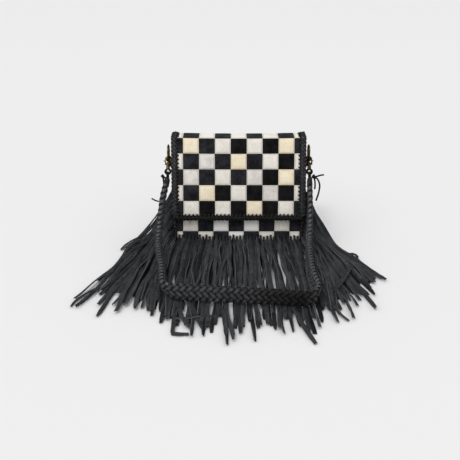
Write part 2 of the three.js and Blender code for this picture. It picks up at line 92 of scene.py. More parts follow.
# Curves: smooth lines through points
def span(p0, p1, p2, p3, t, even):
    """A point on the smooth line from p1 to p2, led by its neighbours."""
    if even:
        lead, trail = (p2 - p0) / 2, (p3 - p1) / 2
    else:
        a, b, c = (max(math.sqrt(gap.length), 1e-4) for gap in (p1 - p0, p2 - p1, p3 - p2))
        lead = ((p1 - p0) / a - (p2 - p0) / (a + b) + (p2 - p1) / b) * b
        trail = ((p2 - p1) / b - (p3 - p1) / (b + c) + (p3 - p2) / c) * b
    square = t * t
    cube = square * t
    return (
        p1 * (2 * cube - 3 * square + 1)
        + lead * (cube - 2 * square + t)
        + p2 * (3 * square - 2 * cube)
        + trail * (cube - square)
    )


def on_line(points, share, even=False):
    """The point at a share of the way along the smooth line through points."""
    place = min(max(share, 0.0), 1.0) * (len(points) - 1)
    first = min(int(place), len(points) - 2)
    before = points[first - 1] if first else points[0] * 2 - points[1]
    after = points[first + 2] if first + 2 < len(points) else points[-1] * 2 - points[-2]
    return span(before, points[first], points[first + 1], after, place - first, even)


class Route:
    """A smooth line that is walked by distance."""

    def __init__(self, points, fine=14):
        count = (len(points) - 1) * fine
        self.points = [on_line(points, i / count) for i in range(count + 1)]
        self.marks = [0.0]
        for a, b in zip(self.points, self.points[1:]):
            self.marks.append(self.marks[-1] + (b - a).length)
        self.length = self.marks[-1]

    def at(self, distance):
        """The point at a distance; past either end the line goes straight on."""
        if distance <= 0:
            way = (self.points[1] - self.points[0]).normalized()
            return self.points[0] + way * distance
        if distance >= self.length:
            way = (self.points[-1] - self.points[-2]).normalized()
            return self.points[-1] + way * (distance - self.length)
        low = max(int(np.searchsorted(self.marks, distance)) - 1, 0)
        share = (distance - self.marks[low]) / max(self.marks[low + 1] - self.marks[low], 1e-9)
        return self.points[low].lerp(self.points[low + 1], share)


# Workbench
def lone(piece=None):
    """Deselects everything, then selects the piece."""
    if bpy.context.object and bpy.context.object.mode != "OBJECT":
        bpy.ops.object.mode_set(mode="OBJECT")
    bpy.ops.object.select_all(action="DESELECT")
    if piece:
        piece.select_set(True)
        bpy.context.view_layer.objects.active = piece


def apply(piece, kind, **settings):
    """Adds a modifier to the piece and applies it."""
    lone(piece)
    modifier = piece.modifiers.new(kind.title(), kind)
    for key, value in settings.items():
        setattr(modifier, key, value)
    bpy.ops.object.modifier_apply(modifier=modifier.name)


def tidy_mesh(piece, angle, turn_out=True, merge=0.00001):
    """Merges doubled points, turns the faces out and shades the piece smooth up to an angle."""
    lone(piece)
    bpy.ops.object.mode_set(mode="EDIT")
    bpy.ops.mesh.select_all(action="SELECT")
    bpy.ops.mesh.remove_doubles(threshold=merge)
    if turn_out:
        bpy.ops.mesh.normals_make_consistent(inside=False)
    bpy.ops.object.mode_set(mode="OBJECT")
    bpy.ops.object.shade_smooth_by_angle(angle=math.radians(angle))


def face_toward(sheet, way):
    """Turns an open sheet so that its faces look the way given."""
    total = sum((face.normal * face.area for face in sheet.data.polygons), Vector())
    if total.dot(Vector(way)) < 0:
        sheet.data.flip_normals()


def joined(name, pieces):
    """Several pieces as one."""
    lone()
    for piece in pieces:
        piece.select_set(True)
    bpy.context.view_layer.objects.active = pieces[0]
    bpy.ops.object.join()
    pieces[0].name = name
    pieces[0].data.name = name
    return pieces[0]


def made(name, points, faces, **per_point):
    """A piece from points and faces, with a value per point under each name given."""
    mesh = bpy.data.meshes.new(name)
    mesh.from_pydata([tuple(p) for p in points], [], faces)
    for label, values in per_point.items():
        mesh.attributes.new(label, "FLOAT", "POINT").data.foreach_set("value", values)
    mesh.update()
    piece = bpy.data.objects.new(name, mesh)
    bpy.context.scene.collection.objects.link(piece)
    return piece


def laid(name, across, down, place):
    """A sheet cut as a flat grid and laid into its place: one line of points for each value."""
    lone()
    bpy.ops.mesh.primitive_grid_add(x_subdivisions=len(across) - 1, y_subdivisions=len(down) - 1, size=1)
    sheet = bpy.context.object
    for point in sheet.data.vertices:
        column = round((point.co.x + 0.5) * (len(across) - 1))
        row = round((point.co.y + 0.5) * (len(down) - 1))
        point.co = place(across[column], down[row])
    sheet.name = sheet.data.name = name
    sheet.data.update()
    return sheet


def spaced(start, end, step):
    """Values from start to end, about a step apart."""
    count = max(int(round(abs(end - start) / step)), 1)
    return [start + (end - start) * i / count for i in range(count + 1)]


def finish_piece(piece, body, materials, nodes=()):
    """Gives a piece its materials, the body it rides on and the nodes it stands for."""
    if not piece.data.materials:
        for material in materials:
            piece.data.materials.append(material)
    if nodes:
        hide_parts(*nodes)
    if isinstance(body, tuple):
        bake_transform(piece)
    else:
        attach(piece, body)


# Materials
def node(tree, kind, plugs=None, **settings):
    """A shader node with its settings, and its sockets set or linked."""
    added = tree.nodes.new("ShaderNode" + kind)
    for key, value in settings.items():
        setattr(added, key, value)
    for key, value in (plugs or {}).items():
        if isinstance(value, bpy.types.NodeSocket):
            tree.links.new(value, added.inputs[key])
        else:
            added.inputs[key].default_value = value
    return added


def maths(tree, operation, first, second=0.0):
    return node(tree, "Math", {0: first, 1: second}, operation=operation).outputs[0]


def total(tree, first, second):
    return maths(tree, "ADD", first, second)


def less(tree, first, second):
    return maths(tree, "SUBTRACT", first, second)


def product(tree, first, second):
    return maths(tree, "MULTIPLY", first, second)


def away(tree, first, second):
    """How far two values are apart."""
    return maths(tree, "ABSOLUTE", less(tree, first, second))


def blended(tree, share, first, second, **way):
    return node(tree, "Mix", {0: share, 6: first, 7: second}, data_type="RGBA", **way).outputs[2]


def spread(tree, value, low, high, to_low=0.0, to_high=1.0):
    plugs = {"Value": value, "From Min": low, "From Max": high, "To Min": to_low, "To Max": to_high}
    return node(tree, "MapRange", plugs).outputs[0]


def speckle(tree, scale, detail=2.0, stretch=(1, 1, 1)):
    """Noise on the object's own coordinates."""
    place = node(tree, "TexCoord").outputs["Object"]
    if stretch != (1, 1, 1):
        place = node(tree, "Mapping", {"Vector": place, "Scale": stretch}).outputs[0]
    return node(tree, "TexNoise", {"Vector": place, "Scale": scale, "Detail": detail}).outputs[0]


def attribute(tree, name):
    return node(tree, "Attribute", attribute_name=name).outputs["Fac"]


SURFACE = {"Color": "Color", "Roughness": "Float", "Height": "Float"}


def effect(name, inputs, outputs=SURFACE):
    """An empty shader group: its graph, its named inputs and a way to set its outputs."""
    tree = bpy.data.node_groups.new(name, "ShaderNodeTree")
    for label, (kind, value) in inputs.items():
        socket = tree.interface.new_socket(label, in_out="INPUT", socket_type="NodeSocket" + kind)
        socket.default_value = value
    for label, kind in outputs.items():
        tree.interface.new_socket(label, in_out="OUTPUT", socket_type="NodeSocket" + kind)
    ends = tree.nodes.new("NodeGroupOutput").inputs

    def give(**values):
        for label, value in values.items():
            tree.links.new(value, ends[label])
        return tree

    return tree, tree.nodes.new("NodeGroupInput").outputs, give


def make_nap():
    """Suede: brushed blotches, a short nap and loose fibres."""
    inputs = {
        "Deep": ("Color", (0.01, 0.01, 0.01, 1)),
        "Raised": ("Color", (0.03, 0.03, 0.03, 1)),
        "Blotches": ("Float", 1.0),
    }
    tree, given, give = effect("suede nap", inputs)
    blotch = speckle(tree, 70.0, 3.0)
    brushed = speckle(tree, 420.0, 3.0, (1, 1, 0.45))
    fibre = speckle(tree, 2400.0, 2.0)
    wide = product(tree, less(tree, blotch, 0.5), given["Blotches"])
    tone = total(tree, wide, product(tree, brushed, 0.6))
    tone = total(tree, tone, product(tree, fibre, 0.4))
    tone = spread(tree, tone, 0.32, 0.68)
    return give(
        Color=blended(tree, tone, given["Deep"], given["Raised"]),
        Roughness=spread(tree, tone, 0.0, 1.0, 0.95, 0.8),
        Height=total(tree, product(tree, brushed, 0.7), product(tree, fibre, 0.3)),
    )


def make_sewing():
    """A row of stitches at an inset from the edge of a patch, on the patch's own map."""
    inputs = {"Inset": ("Float", 0.062), "Width": ("Float", 0.012), "Pitch": ("Float", 0.1)}
    tree, given, give = effect("sewing", inputs, {"Thread": "Float", "Seam": "Float", "Edge": "Float"})
    parts = node(tree, "SeparateXYZ", {0: node(tree, "UVMap").outputs[0]}).outputs
    sides = [away(tree, parts[i], 0.5) for i in (0, 1)]
    inwards = less(tree, 0.5, maths(tree, "MAXIMUM", *sides))
    off = away(tree, inwards, given["Inset"])
    seam = spread(tree, maths(tree, "DIVIDE", off, given["Width"]), 0.6, 1.6, 1.0, 0.0)
    upright = maths(tree, "GREATER_THAN", *sides)
    run = node(tree, "Mix", {0: upright, 2: parts[0], 3: parts[1]}).outputs[0]
    step = maths(tree, "FRACT", maths(tree, "DIVIDE", run, given["Pitch"]))
    dash = maths(tree, "LESS_THAN", step, 0.68)
    return give(Thread=product(tree, seam, dash), Seam=seam, Edge=spread(tree, inwards, 0.0, 0.022, 1.0, 0.0))


def make_creases():
    """Leather lace: fine creases along it, and its crown lighter and shinier, partly from rubbed wear and
    partly as a painted highlight, with its hollows left dark as painted shade.
    """
    inputs = {
        "Deep": ("Color", (0.006, 0.006, 0.007, 1)),
        "Rubbed": ("Color", (0.03, 0.03, 0.033, 1)),
    }
    tree, given, give = effect("lace creases", inputs)
    fine = speckle(tree, 1500.0, 3.0)
    crown = maths(tree, "POWER", attribute(tree, "crown"), 2.5)
    # The crown's lightening: partly wear, partly a painted highlight
    worn = product(tree, crown, spread(tree, speckle(tree, 160.0), 0.35, 0.65, 0.5, 1.1))
    tone = total(tree, worn, product(tree, less(tree, fine, 0.5), 0.4))
    return give(
        Color=blended(tree, spread(tree, tone, 0.0, 1.0), given["Deep"], given["Rubbed"]),
        Roughness=spread(tree, tone, 0.0, 1.0, 0.6, 0.27),
        Height=fine,
    )


NAP = make_nap()
SEWING = make_sewing()
CREASES = make_creases()


def blank(name, **constants):
    """A material with its graph, and constants set on its Principled shader's own sockets."""
    material = bpy.data.materials.new(name)
    material.use_nodes = True
    shader = material.node_tree.nodes["Principled BSDF"]
    for key, value in constants.items():
        shader.inputs[key.replace("_", " ")].default_value = value
    return material, material.node_tree


def coated(material, shade, roughness, height, depth):
    """The material with its colour, its roughness where that varies, and its relief."""
    tree = material.node_tree
    shader = tree.nodes["Principled BSDF"]
    tree.links.new(shade, shader.inputs["Base Color"])
    if roughness:
        tree.links.new(roughness, shader.inputs["Roughness"])
    bump = node(tree, "Bump", {"Height": height, "Distance": depth, "Strength": 1.0})
    tree.links.new(bump.outputs[0], shader.inputs["Normal"])
    return material


def placed(tree, group, **values):
    """A shared effect in a material, with its own values; three numbers are a colour."""
    added = tree.nodes.new("ShaderNodeGroup")
    added.node_tree = group
    for key, value in values.items():
        added.inputs[key].default_value = colour(*value) if isinstance(value, tuple) else value
    return added.outputs


def colour(red, green, blue):
    return (red, green, blue, 1)


STAIN_AT = (-0.0785, 0.037)
STAIN_HALF = (0.0015, 0.0055)
STAIN_DYE = colour(0.42, 0.3, 0.17)


def stain_mask(tree):
    """A short upright stain low on the front panel, near its left side."""
    parts = node(tree, "SeparateXYZ", {0: node(tree, "TexCoord").outputs["Object"]}).outputs
    ragged = product(tree, less(tree, speckle(tree, 500.0), 0.5), 0.002)
    off = away(tree, total(tree, parts[0], ragged), STAIN_AT[0])
    across = spread(tree, off, STAIN_HALF[0] - 0.0008, STAIN_HALF[0] + 0.0007, 0.8, 0.0)
    off = away(tree, parts[2], STAIN_AT[1])
    along = spread(tree, off, STAIN_HALF[1] - 0.0025, STAIN_HALF[1] + 0.0025, 1.0, 0.0)
    return product(tree, across, along)


def patch_suede(name, deep, raised, thread, blotches=1.0, stained=False):
    """Suede of one patch of the patchwork, with its row of stitches."""
    material, tree = blank(name, Specular_IOR_Level=0.1, Sheen_Weight=0.04, Sheen_Roughness=0.5)
    nap = placed(tree, NAP, Deep=deep, Raised=raised, Blotches=blotches)
    sewn = placed(tree, SEWING)
    shade = blended(tree, product(tree, sewn["Seam"], 0.45), nap["Color"], colour(*deep))
    if stained:
        shade = blended(tree, stain_mask(tree), shade, STAIN_DYE)
    shade = blended(tree, sewn["Thread"], shade, colour(*thread))
    dark = colour(*(part * 0.35 for part in deep))
    shade = blended(tree, product(tree, sewn["Edge"], 0.75), shade, dark)
    height = total(tree, product(tree, nap["Height"], 0.5), sewn["Thread"])
    return coated(material, shade, nap["Roughness"], less(tree, height, sewn["Seam"]), 0.0003)


def plain_suede(name, sewn=False):
    """Suede by the hide: for the bag's back, sides and base, and the flap's lining."""
    material, tree = blank(name, Specular_IOR_Level=0.12, Sheen_Weight=0.05, Sheen_Roughness=0.5)
    nap = placed(tree, NAP, Deep=(0.008, 0.008, 0.009), Raised=(0.024, 0.024, 0.027), Blotches=0.55)
    shade, height = nap["Color"], product(tree, nap["Height"], 0.6)
    if sewn:
        row = placed(tree, SEWING, Inset=0.16, Width=0.014, Pitch=0.12)
        shade = blended(tree, row["Thread"], shade, colour(0.05, 0.05, 0.052))
        height = total(tree, height, less(tree, row["Thread"], row["Seam"]))
    return coated(material, shade, nap["Roughness"], height, 0.00035)


def strip_suede():
    """Fringe suede: each strip a tone of its own, partly random and partly a painted shade that darkens the
    lower layers, and paler on its cut edges.
    """
    material, tree = blank("fringe suede", Specular_IOR_Level=0.08, Sheen_Weight=0.015, Sheen_Roughness=0.5)
    nap = placed(tree, NAP, Deep=(0.0125, 0.013, 0.014), Raised=(0.04, 0.0415, 0.045), Blotches=0.5)
    # The shade attribute holds each strip's tone: a random part, plus painted shade on the lower layers
    own = blended(tree, attribute(tree, "shade"), colour(0.1, 0.1, 0.103), colour(2.1, 2.1, 2.1))
    shade = blended(tree, 1.0, nap["Color"], own, blend_type="MULTIPLY")
    cut = product(tree, spread(tree, attribute(tree, "edge"), 0.78, 1.0), 0.7)
    shade = blended(tree, cut, shade, colour(0.1, 0.102, 0.108))
    return coated(material, shade, nap["Roughness"], nap["Height"], 0.0003)


def lace_leather(name, rubbed):
    """The plaits' leather lace, its crowns lightened towards a lighter colour: partly rubbed wear, partly a
    painted highlight.
    """
    material, tree = blank(name, Specular_IOR_Level=0.5)
    worn = placed(tree, CREASES, Deep=(0.002, 0.002, 0.0024), Rubbed=rubbed)
    return coated(material, worn["Color"], worn["Roughness"], worn["Height"], 0.00025)


def metal(name, bright, dull, shine, worn):
    """Cast metal, rubbed bright with duller hollows and fine scratches."""
    material, tree = blank(name, Metallic=1.0)
    scratch = speckle(tree, 900.0, 3.0, (1, 1, 7))
    tone = spread(tree, speckle(tree, 240.0, 4.0), 0.38, 0.62)
    rough = total(tree, spread(tree, tone, 0.0, 1.0, worn, shine), product(tree, scratch, 0.1))
    return coated(material, blended(tree, tone, colour(*dull), colour(*bright)), rough, scratch, 0.00005)


def lining_cloth():
    """A plain-woven cotton lining."""
    material, tree = blank("lining cotton", Sheen_Weight=0.2, Roughness=0.9)
    wave = {
        "Vector": node(tree, "TexCoord").outputs["Object"], "Scale": 190.0, "Distortion": 0.6, "Detail": 1.0,
    }
    threads = [node(tree, "TexWave", wave, bands_direction=axis).outputs["Fac"] for axis in "XZY"]
    weave = product(tree, total(tree, threads[0], threads[2]), threads[1])
    tone = total(tree, product(tree, weave, 0.35), speckle(tree, 60.0, 3.0))
    tone = spread(tree, tone, 0.3, 0.95)
    shade = blended(tree, tone, colour(0.06, 0.052, 0.043), colour(0.15, 0.13, 0.11))
    return coated(material, shade, None, weave, 0.0003)


# Each dye of the patchwork, and a lighter copy of the white as painted light: the suede's hollows, its raised
# nap, its thread, how blotched it is and whether it has the stain
PATCH_DYES = {
    "black patch": ((0.008, 0.008, 0.01), (0.028, 0.029, 0.035), (0.035, 0.036, 0.04), 1.0),
    "chalk patch": ((0.74, 0.7, 0.62), (0.9, 0.86, 0.79), (0.5, 0.47, 0.42), 0.7, True),
    "cream patch": ((0.82, 0.7, 0.5), (0.95, 0.86, 0.69), (0.58, 0.48, 0.34), 0.7),
    "ash patch": ((0.63, 0.595, 0.55), (0.82, 0.78, 0.73), (0.42, 0.39, 0.36), 1.0),
    "deep black patch": ((0.003, 0.003, 0.0035), (0.011, 0.011, 0.012), (0.02, 0.02, 0.022), 1.0),
    # A lighter copy of the white suede: painted light for squares in the flap's shadow
    "painted light white patch": ((0.9, 0.88, 0.845), (0.97, 0.955, 0.93), (0.55, 0.53, 0.49), 0.7),
}
BLACK, CHALK, CREAM, ASH, DEEP, PAINTED_LIGHT_WHITE = range(len(PATCH_DYES))
PATCHES = [patch_suede(name, *dye) for name, dye in PATCH_DYES.items()]
HIDE = plain_suede("black suede")
SEWN_HIDE = plain_suede("sewn black suede", sewn=True)
FRINGE = strip_suede()
# The lightest colour of each lace's crowns: partly rubbed wear, partly a painted highlight
STRAP_LACE = lace_leather("strap lace", (0.085, 0.087, 0.094))
EDGE_LACE = lace_leather("edging lace", (0.06, 0.061, 0.066))
BRASS = metal("brass", (0.5, 0.37, 0.17), (0.2, 0.135, 0.055), 0.26, 0.5)
STEEL = metal("steel", (0.68, 0.67, 0.65), (0.42, 0.41, 0.4), 0.25, 0.4)
LINING = lining_cloth()


# Laces and strips
LACE_SECTION = [(-0.5, -0.5), (0.5, -0.5), (0.47, 0.05), (0.0, 0.6), (-0.47, 0.05)]
# Crown values round a binding's section: the lace material lightens them, partly as wear, partly as painted
# highlight
BOUND_CROWN = [0.1, 0.1, 0.6, 0.8, 0.6]


def directions(points):
    """The way along a line of points at each of them."""
    last = len(points) - 1
    return [(points[min(i + 1, last)] - points[max(i - 1, 0)]).normalized() for i in range(last + 1)]


def at_each(value, count):
    """A list of values as it is, or one value as many times as it is wanted."""
    return value if isinstance(value, list) else [value] * count


class Cutting:
    """Strips of leather gathered up for one piece, with a value per point for the materials."""

    def __init__(self):
        self.points, self.faces = [], []
        self.values = {}

    def strip(self, centres, sideways, upwards, widths, walls, section, **values):
        """One strip: rings of the section along its centres, closed at both ends."""
        base, sides = len(self.points), len(section)
        sideways, widths, walls = (at_each(value, len(centres)) for value in (sideways, widths, walls))
        for i, centre in enumerate(centres):
            for across, up in section:
                self.points.append(centre + sideways[i] * (across * widths[i]) + upwards[i] * (up * walls[i]))
            for label, value in values.items():
                given = value(i) if callable(value) else value
                self.values.setdefault(label, []).extend(at_each(given, sides))
        for i in range(len(centres) - 1):
            for j in range(sides):
                k = (j + 1) % sides
                near, far = base + i * sides, base + (i + 1) * sides
                self.faces.append((near + j, near + k, far + k, far + j))
        last = base + (len(centres) - 1) * sides
        self.faces.append(tuple(base + j for j in reversed(range(sides))))
        self.faces.append(tuple(last + j for j in range(sides)))

    def finish(self, name, body, leather, nodes=()):
        """One piece of all the strips, with its body, its material and its nodes."""
        whole = made(name, self.points, self.faces, **self.values)
        tidy_mesh(whole, 50, merge=0.0000001)
        finish_piece(whole, body, [leather], nodes)


def lace_along(cutting, points, width, wall, up, rings, crown=0.8, taper=None, **values):
    """A lace through a few points, its flat side as near as it goes to the way up given."""
    route = Route(points)
    centres = [route.at(route.length * i / rings) for i in range(rings + 1)]
    ways = directions(centres)
    sideways = [way.cross(Vector(up)).normalized() for way in ways]
    upwards = [side.cross(way) for side, way in zip(sideways, ways)]
    widths = [width * taper(i / rings) for i in range(rings + 1)] if taper else width
    # The top of the section is its crown, lightened by the lace material: partly wear, partly painted
    # highlight
    crowns = [0.1, 0.1, crown * 0.8, crown, crown * 0.8]
    cutting.strip(centres, sideways, upwards, widths, wall, LACE_SECTION, crown=crowns, **values)


def oval(turn, half_width, half_wall):
    """A place on a flat oval, a share of the way round from the middle of its broad face, and its facing."""
    straight = half_width - half_wall
    half_way = 2 * straight + math.pi * half_wall
    walked = (turn % 1.0) * 2 * half_way
    side = 1.0 if walked < half_way else -1.0
    walked %= half_way
    if walked < straight:
        place, facing = (walked, half_wall), (0.0, 1.0)
    elif walked < half_way - straight:
        angle = (walked - straight) / half_wall
        facing = (math.sin(angle), math.cos(angle))
        place = (straight + facing[0] * half_wall, facing[1] * half_wall)
    else:
        place, facing = (half_way - walked, -half_wall), (0.0, -1.0)
    return (side * place[0], side * place[1]), (side * facing[0], side * facing[1])


def crossing(met, floats):
    """How far a lace is over, 1, or under, -1, the others, by how many of them it has met."""
    if floats == 1:
        return math.cos(math.pi * met)
    over = math.cos(math.pi * (met / 2 - 0.25)) * math.sqrt(2)
    return min(max(over, -1.0), 1.0)


def plait(cutting, route, length, laces, pitch, lace, wall, half_width, half_wall, rubbed=None, floats=1):
    """A plait round a flat oval core: half the laces wind each way, each over one and under one, or over
    two and under two where floats is 2. route(distance) gives a place, the way across the plait, the way
    out of its broad face and its size there; rubbed(share) scales how much its crowns are lightened, partly
    for wear and partly as a painted highlight, and laces left under the others stay dark as painted shade."""
    fine = 4
    lay = pitch * laces / 2
    steps = int(length / lay * laces * fine)
    places = [route(length * i / steps) for i in range(steps + 1)]
    heave = wall * 0.55
    for way in (1, -1):
        for number in range(laces // 2):
            centres, facings, crowns = [], [], []
            for i, (place, across, out, size) in enumerate(places):
                turn = way * (length * i / steps / lay + number * 2 / laces)
                over = way * crossing(laces * turn, floats)
                wide = half_width * size - heave - wall / 2
                thick = half_wall * (0.4 + 0.6 * size) - heave - wall / 2
                (a, b), (na, nb) = oval(turn, wide, thick)
                facing = across * na + out * nb
                centres.append(place + across * a + out * b + facing * (heave * over))
                facings.append(facing)
                # Laces passing under the others get no crown lightening: painted shade in the plait's hollows
                crowns.append((0.5 + 0.5 * over) * (rubbed(i / steps) if rubbed else 1.0))
            ways = directions(centres)
            sideways = [along.cross(facing).normalized() for along, facing in zip(ways, facings)]
            upwards = [side.cross(along) for side, along in zip(sideways, ways)]
            widths = [lace * (0.86 + 0.12 * min(crown, 1.0)) * at[3] for crown, at in zip(crowns, places)]
            cutting.strip(
                centres, sideways, upwards, widths, wall, LACE_SECTION,
                crown=lambda i: [0.0, 0.0, crowns[i] * 0.7, crowns[i], crowns[i] * 0.7],
            )
    depth = heave * 2 + wall
    core = [oval(j / 12, half_width - depth, max(half_wall - depth, 0.0004))[0] for j in reversed(range(12))]
    centres, across, out, sizes = (list(values) for values in zip(*places[:: fine * 2]))
    cutting.strip(centres, across, out, sizes, sizes, core, crown=0.0)


# The flap, whose pieces bend between the bag and the flap over its fold
OVER_FOLD = ("bag", "flap")
FLAP_OUT = (0, -0.9, 0.3)
CHANNEL_AT = 0.0013
FLAP_RISE = 0.0014


def sag_at(across):
    return FLAP_SAG * (1 - (across / BODY_HALF) ** 2)


def flap_place(across, down, out=0.0):
    """A place on the flap: across it, down its outer face from the fold, and out from that face."""
    half_fold = FOLD_RADIUS * FOLD_TURN / 2
    if down < -half_fold:
        facing = Vector((0, 0, 1))
        place = FOLD_AT + facing * FOLD_RADIUS + Vector((0, -half_fold - down, 0))
    elif down < half_fold:
        turn = (down + half_fold) / FOLD_RADIUS
        facing = Vector((0, -math.sin(turn), math.cos(turn)))
        place = FOLD_AT + facing * FOLD_RADIUS
    else:
        facing = Vector((0, -math.cos(FLAP_TILT), math.sin(FLAP_TILT)))
        fall = Vector((0, -math.sin(FLAP_TILT), -math.cos(FLAP_TILT)))
        place = FOLD_AT + facing * FOLD_RADIUS + fall * (down - half_fold)
    place = place + Vector((across, 0, -sag_at(across) * (1 - smooth(down / 0.07))))
    ripple = noise.noise(Vector((across * 16, down * 14, 0.4))) * 0.0011 * smooth((down + 0.02) / 0.05)
    return place + facing * (out + ripple)


def flap_facing(across, down):
    step = 0.0006
    way = flap_place(across + step, down) - flap_place(across - step, down)
    fall = flap_place(across, down + step) - flap_place(across, down - step)
    return fall.cross(way).normalized()


def edge_lines(low, high):
    """Lines of points across one patch: close together at its seams, where its stitched channel runs."""
    near = [0.0, 0.00035, 0.0009, CHANNEL_AT, 0.00175, 0.0024]
    gap = high - low
    inner = [near[-1] + (gap - 2 * near[-1]) * i / 4 for i in (1, 2, 3)]
    return [low + x for x in near] + [low + x for x in inner] + [high - x for x in reversed(near)]


def patch_lift(edge):
    """How far a patch stands up at a distance from its seam."""
    return 1 - math.exp(-edge / 0.0006) - 0.42 * math.exp(-(((edge - CHANNEL_AT) / 0.0004) ** 2))


def seam_share(before, after):
    """A map from the nearer of two edges, in squares, flat in between."""
    if before <= after:
        return min(before / SQUARE, 0.5)
    return 1 - min(after / SQUARE, 0.5)


def map_seams(sheet, across, down):
    """Gives a sheet the map that its rows of stitches follow."""
    layer = sheet.data.uv_layers[0].data
    for loop in sheet.data.loops:
        u, v = layer[loop.index].uv
        x, y = across[round(u * (len(across) - 1))], down[round(v * (len(down) - 1))]
        sideways = seam_share(x - across[0], across[-1] - x)
        layer[loop.index].uv = (sideways, seam_share(abs(y - down[0]), abs(down[-1] - y)))


def lay_patches(name, columns, rows, tone_of, place, rise, out):
    """The patchwork: squares between the column and row lines, each domed inside its stitched channel."""
    squares = []
    for row, (top, bottom) in enumerate(zip(rows, rows[1:])):
        for column, (left, right) in enumerate(zip(columns, columns[1:])):
            seed = row * 17 + column * 5 + 1

            def lifted(x, y):
                dome = math.sin(math.pi * (x - left) / (right - left))
                dome *= math.sin(math.pi * (y - top) / (bottom - top))
                lift = min(patch_lift(min(x - left, right - x)), patch_lift(min(y - top, bottom - y)))
                puff = noise.noise(Vector((x * 120, y * 120, seed))) * 0.12
                return place(x, y, rise * (lift * (0.8 + puff) + 0.35 * dome - 1.0))

            across, down = edge_lines(left, right), edge_lines(top, bottom)
            patch = laid(f"patch_{row}_{column}", across, down, lifted)
            map_seams(patch, across, down)
            for material in PATCHES:
                patch.data.materials.append(material)
            faces = patch.data.polygons
            faces.foreach_set("material_index", [tone_of(row, column)] * len(faces))
            squares.append(patch)
    patches = joined(name, squares)
    face_toward(patches, out)
    patches.data.shade_smooth()
    return patches


def thickened(sheet, out, wall):
    """Turns an open sheet to face the way given, and thickens it behind that face."""
    face_toward(sheet, out)
    apply(sheet, "SOLIDIFY", thickness=wall, offset=-1)
    sheet.data.shade_smooth()
    return sheet


# Which squares of the flap aren't the first tone of their colour, by row and column from the top left
CREAM_SQUARES = {(1, 1), (1, 7), (2, 4), (3, 7), (4, 2), (5, 5)}
ASH_SQUARES = {(2, 2), (3, 1), (3, 5), (4, 6)}
DEEP_SQUARES = {(1, 4), (1, 6), (2, 7), (3, 6), (4, 3), (4, 5), (4, 7), (5, 2), (5, 4), (5, 6)}


def flap_tone(row, column):
    if (row + column) % 2:
        return DEEP if (row, column) in DEEP_SQUARES else BLACK
    if (row, column) in CREAM_SQUARES:
        return CREAM
    return ASH if (row, column) in ASH_SQUARES else CHALK


def make_flap():
    columns = [-FLAP_HALF] + [SQUARE * (i - 3.5) for i in range(8)] + [FLAP_HALF]
    rows = [FLAP_BACK, 0.0] + [SQUARE * i for i in (1, 2, 3, 4)] + [FLAP_FOOT]
    patches = lay_patches("flap_patchwork", columns, rows, flap_tone, flap_place, FLAP_RISE, FLAP_OUT)
    finish_piece(patches, OVER_FOLD, PATCHES, ["flap_panel"])
    depth = 0.0013
    over_fold = spaced(-0.0024, 0.0024, 0.0008)
    down = spaced(FLAP_BACK, -0.003, 0.004) + over_fold + spaced(0.003, FLAP_FOOT, 0.005)
    across = spaced(-FLAP_HALF, FLAP_HALF, 0.006)
    backing = laid("flap_backing", across, down, lambda x, s: flap_place(x, s, -depth))
    thickened(backing, FLAP_OUT, FLAP_WALL - depth)
    finish_piece(backing, OVER_FOLD, [HIDE])


EDGING_MIDDLE = 0.1014
EDGING_FOOT = 0.1272
EDGING_CORNER = 0.007
EDGING = {
    "laces": 8, "pitch": 0.0062, "lace": 0.004, "wall": 0.0014, "half_width": 0.0051, "half_wall": 0.0025,
    "floats": 2,
}


def edging_line():
    """The middle of the flap's braided edging, in the flap's own across and down."""
    points = [(-EDGING_MIDDLE, s) for s in spaced(FLAP_BACK, EDGING_FOOT - EDGING_CORNER, 0.002)]
    corner = (-EDGING_MIDDLE + EDGING_CORNER, EDGING_FOOT - EDGING_CORNER)
    for i in range(1, 8):
        angle = math.pi / 2 * i / 8
        x, s = corner[0] - EDGING_CORNER * math.cos(angle), corner[1] + EDGING_CORNER * math.sin(angle)
        points.append((x, s))
    half = points + [(x, EDGING_FOOT) for x in spaced(corner[0], 0, 0.002)]
    return half + [(-x, s) for x, s in reversed(half[:-1])]


def edging_route(line):
    marks = [0.0]
    for (x0, s0), (x1, s1) in zip(line, line[1:]):
        marks.append(marks[-1] + math.hypot(x1 - x0, s1 - s0))

    def route(distance):
        low = min(max(int(np.searchsorted(marks, distance)) - 1, 0), len(line) - 2)
        share = (distance - marks[low]) / (marks[low + 1] - marks[low])
        (x0, s0), (x1, s1) = line[low], line[low + 1]
        x, s = x0 + (x1 - x0) * share, s0 + (s1 - s0) * share
        place = flap_place(x, s, -0.0012)
        out = flap_facing(x, s)
        along = (flap_place(x1, s1) - flap_place(x0, s0)).normalized()
        across = out.cross(along).normalized()
        size = 1.0 - 0.16 * smooth((s - 0.11) / 0.014)
        return place, across, out, size

    return route, marks[-1]


def edging_rub_and_highlight(share):
    """How much the edging's crowns are lightened, for wear and painted highlight: less along the flap's foot
    than up its sides.
    """
    return 1.0 - 0.6 * smooth((0.5 - abs(share - 0.5) - 0.29) / 0.03)


# One stitch of the lace that holds the edging: beyond its inner edge, out from it and along it
EDGING_STITCH = [
    (-0.0016, 0.0016, -0.0012), (0.0004, 0.0021, -0.0004),
    (0.0019, 0.0016, 0.0004), (0.0026, -0.0006, 0.0007),
]


def stitch_taper(share):
    return 1.0 - 0.45 * share


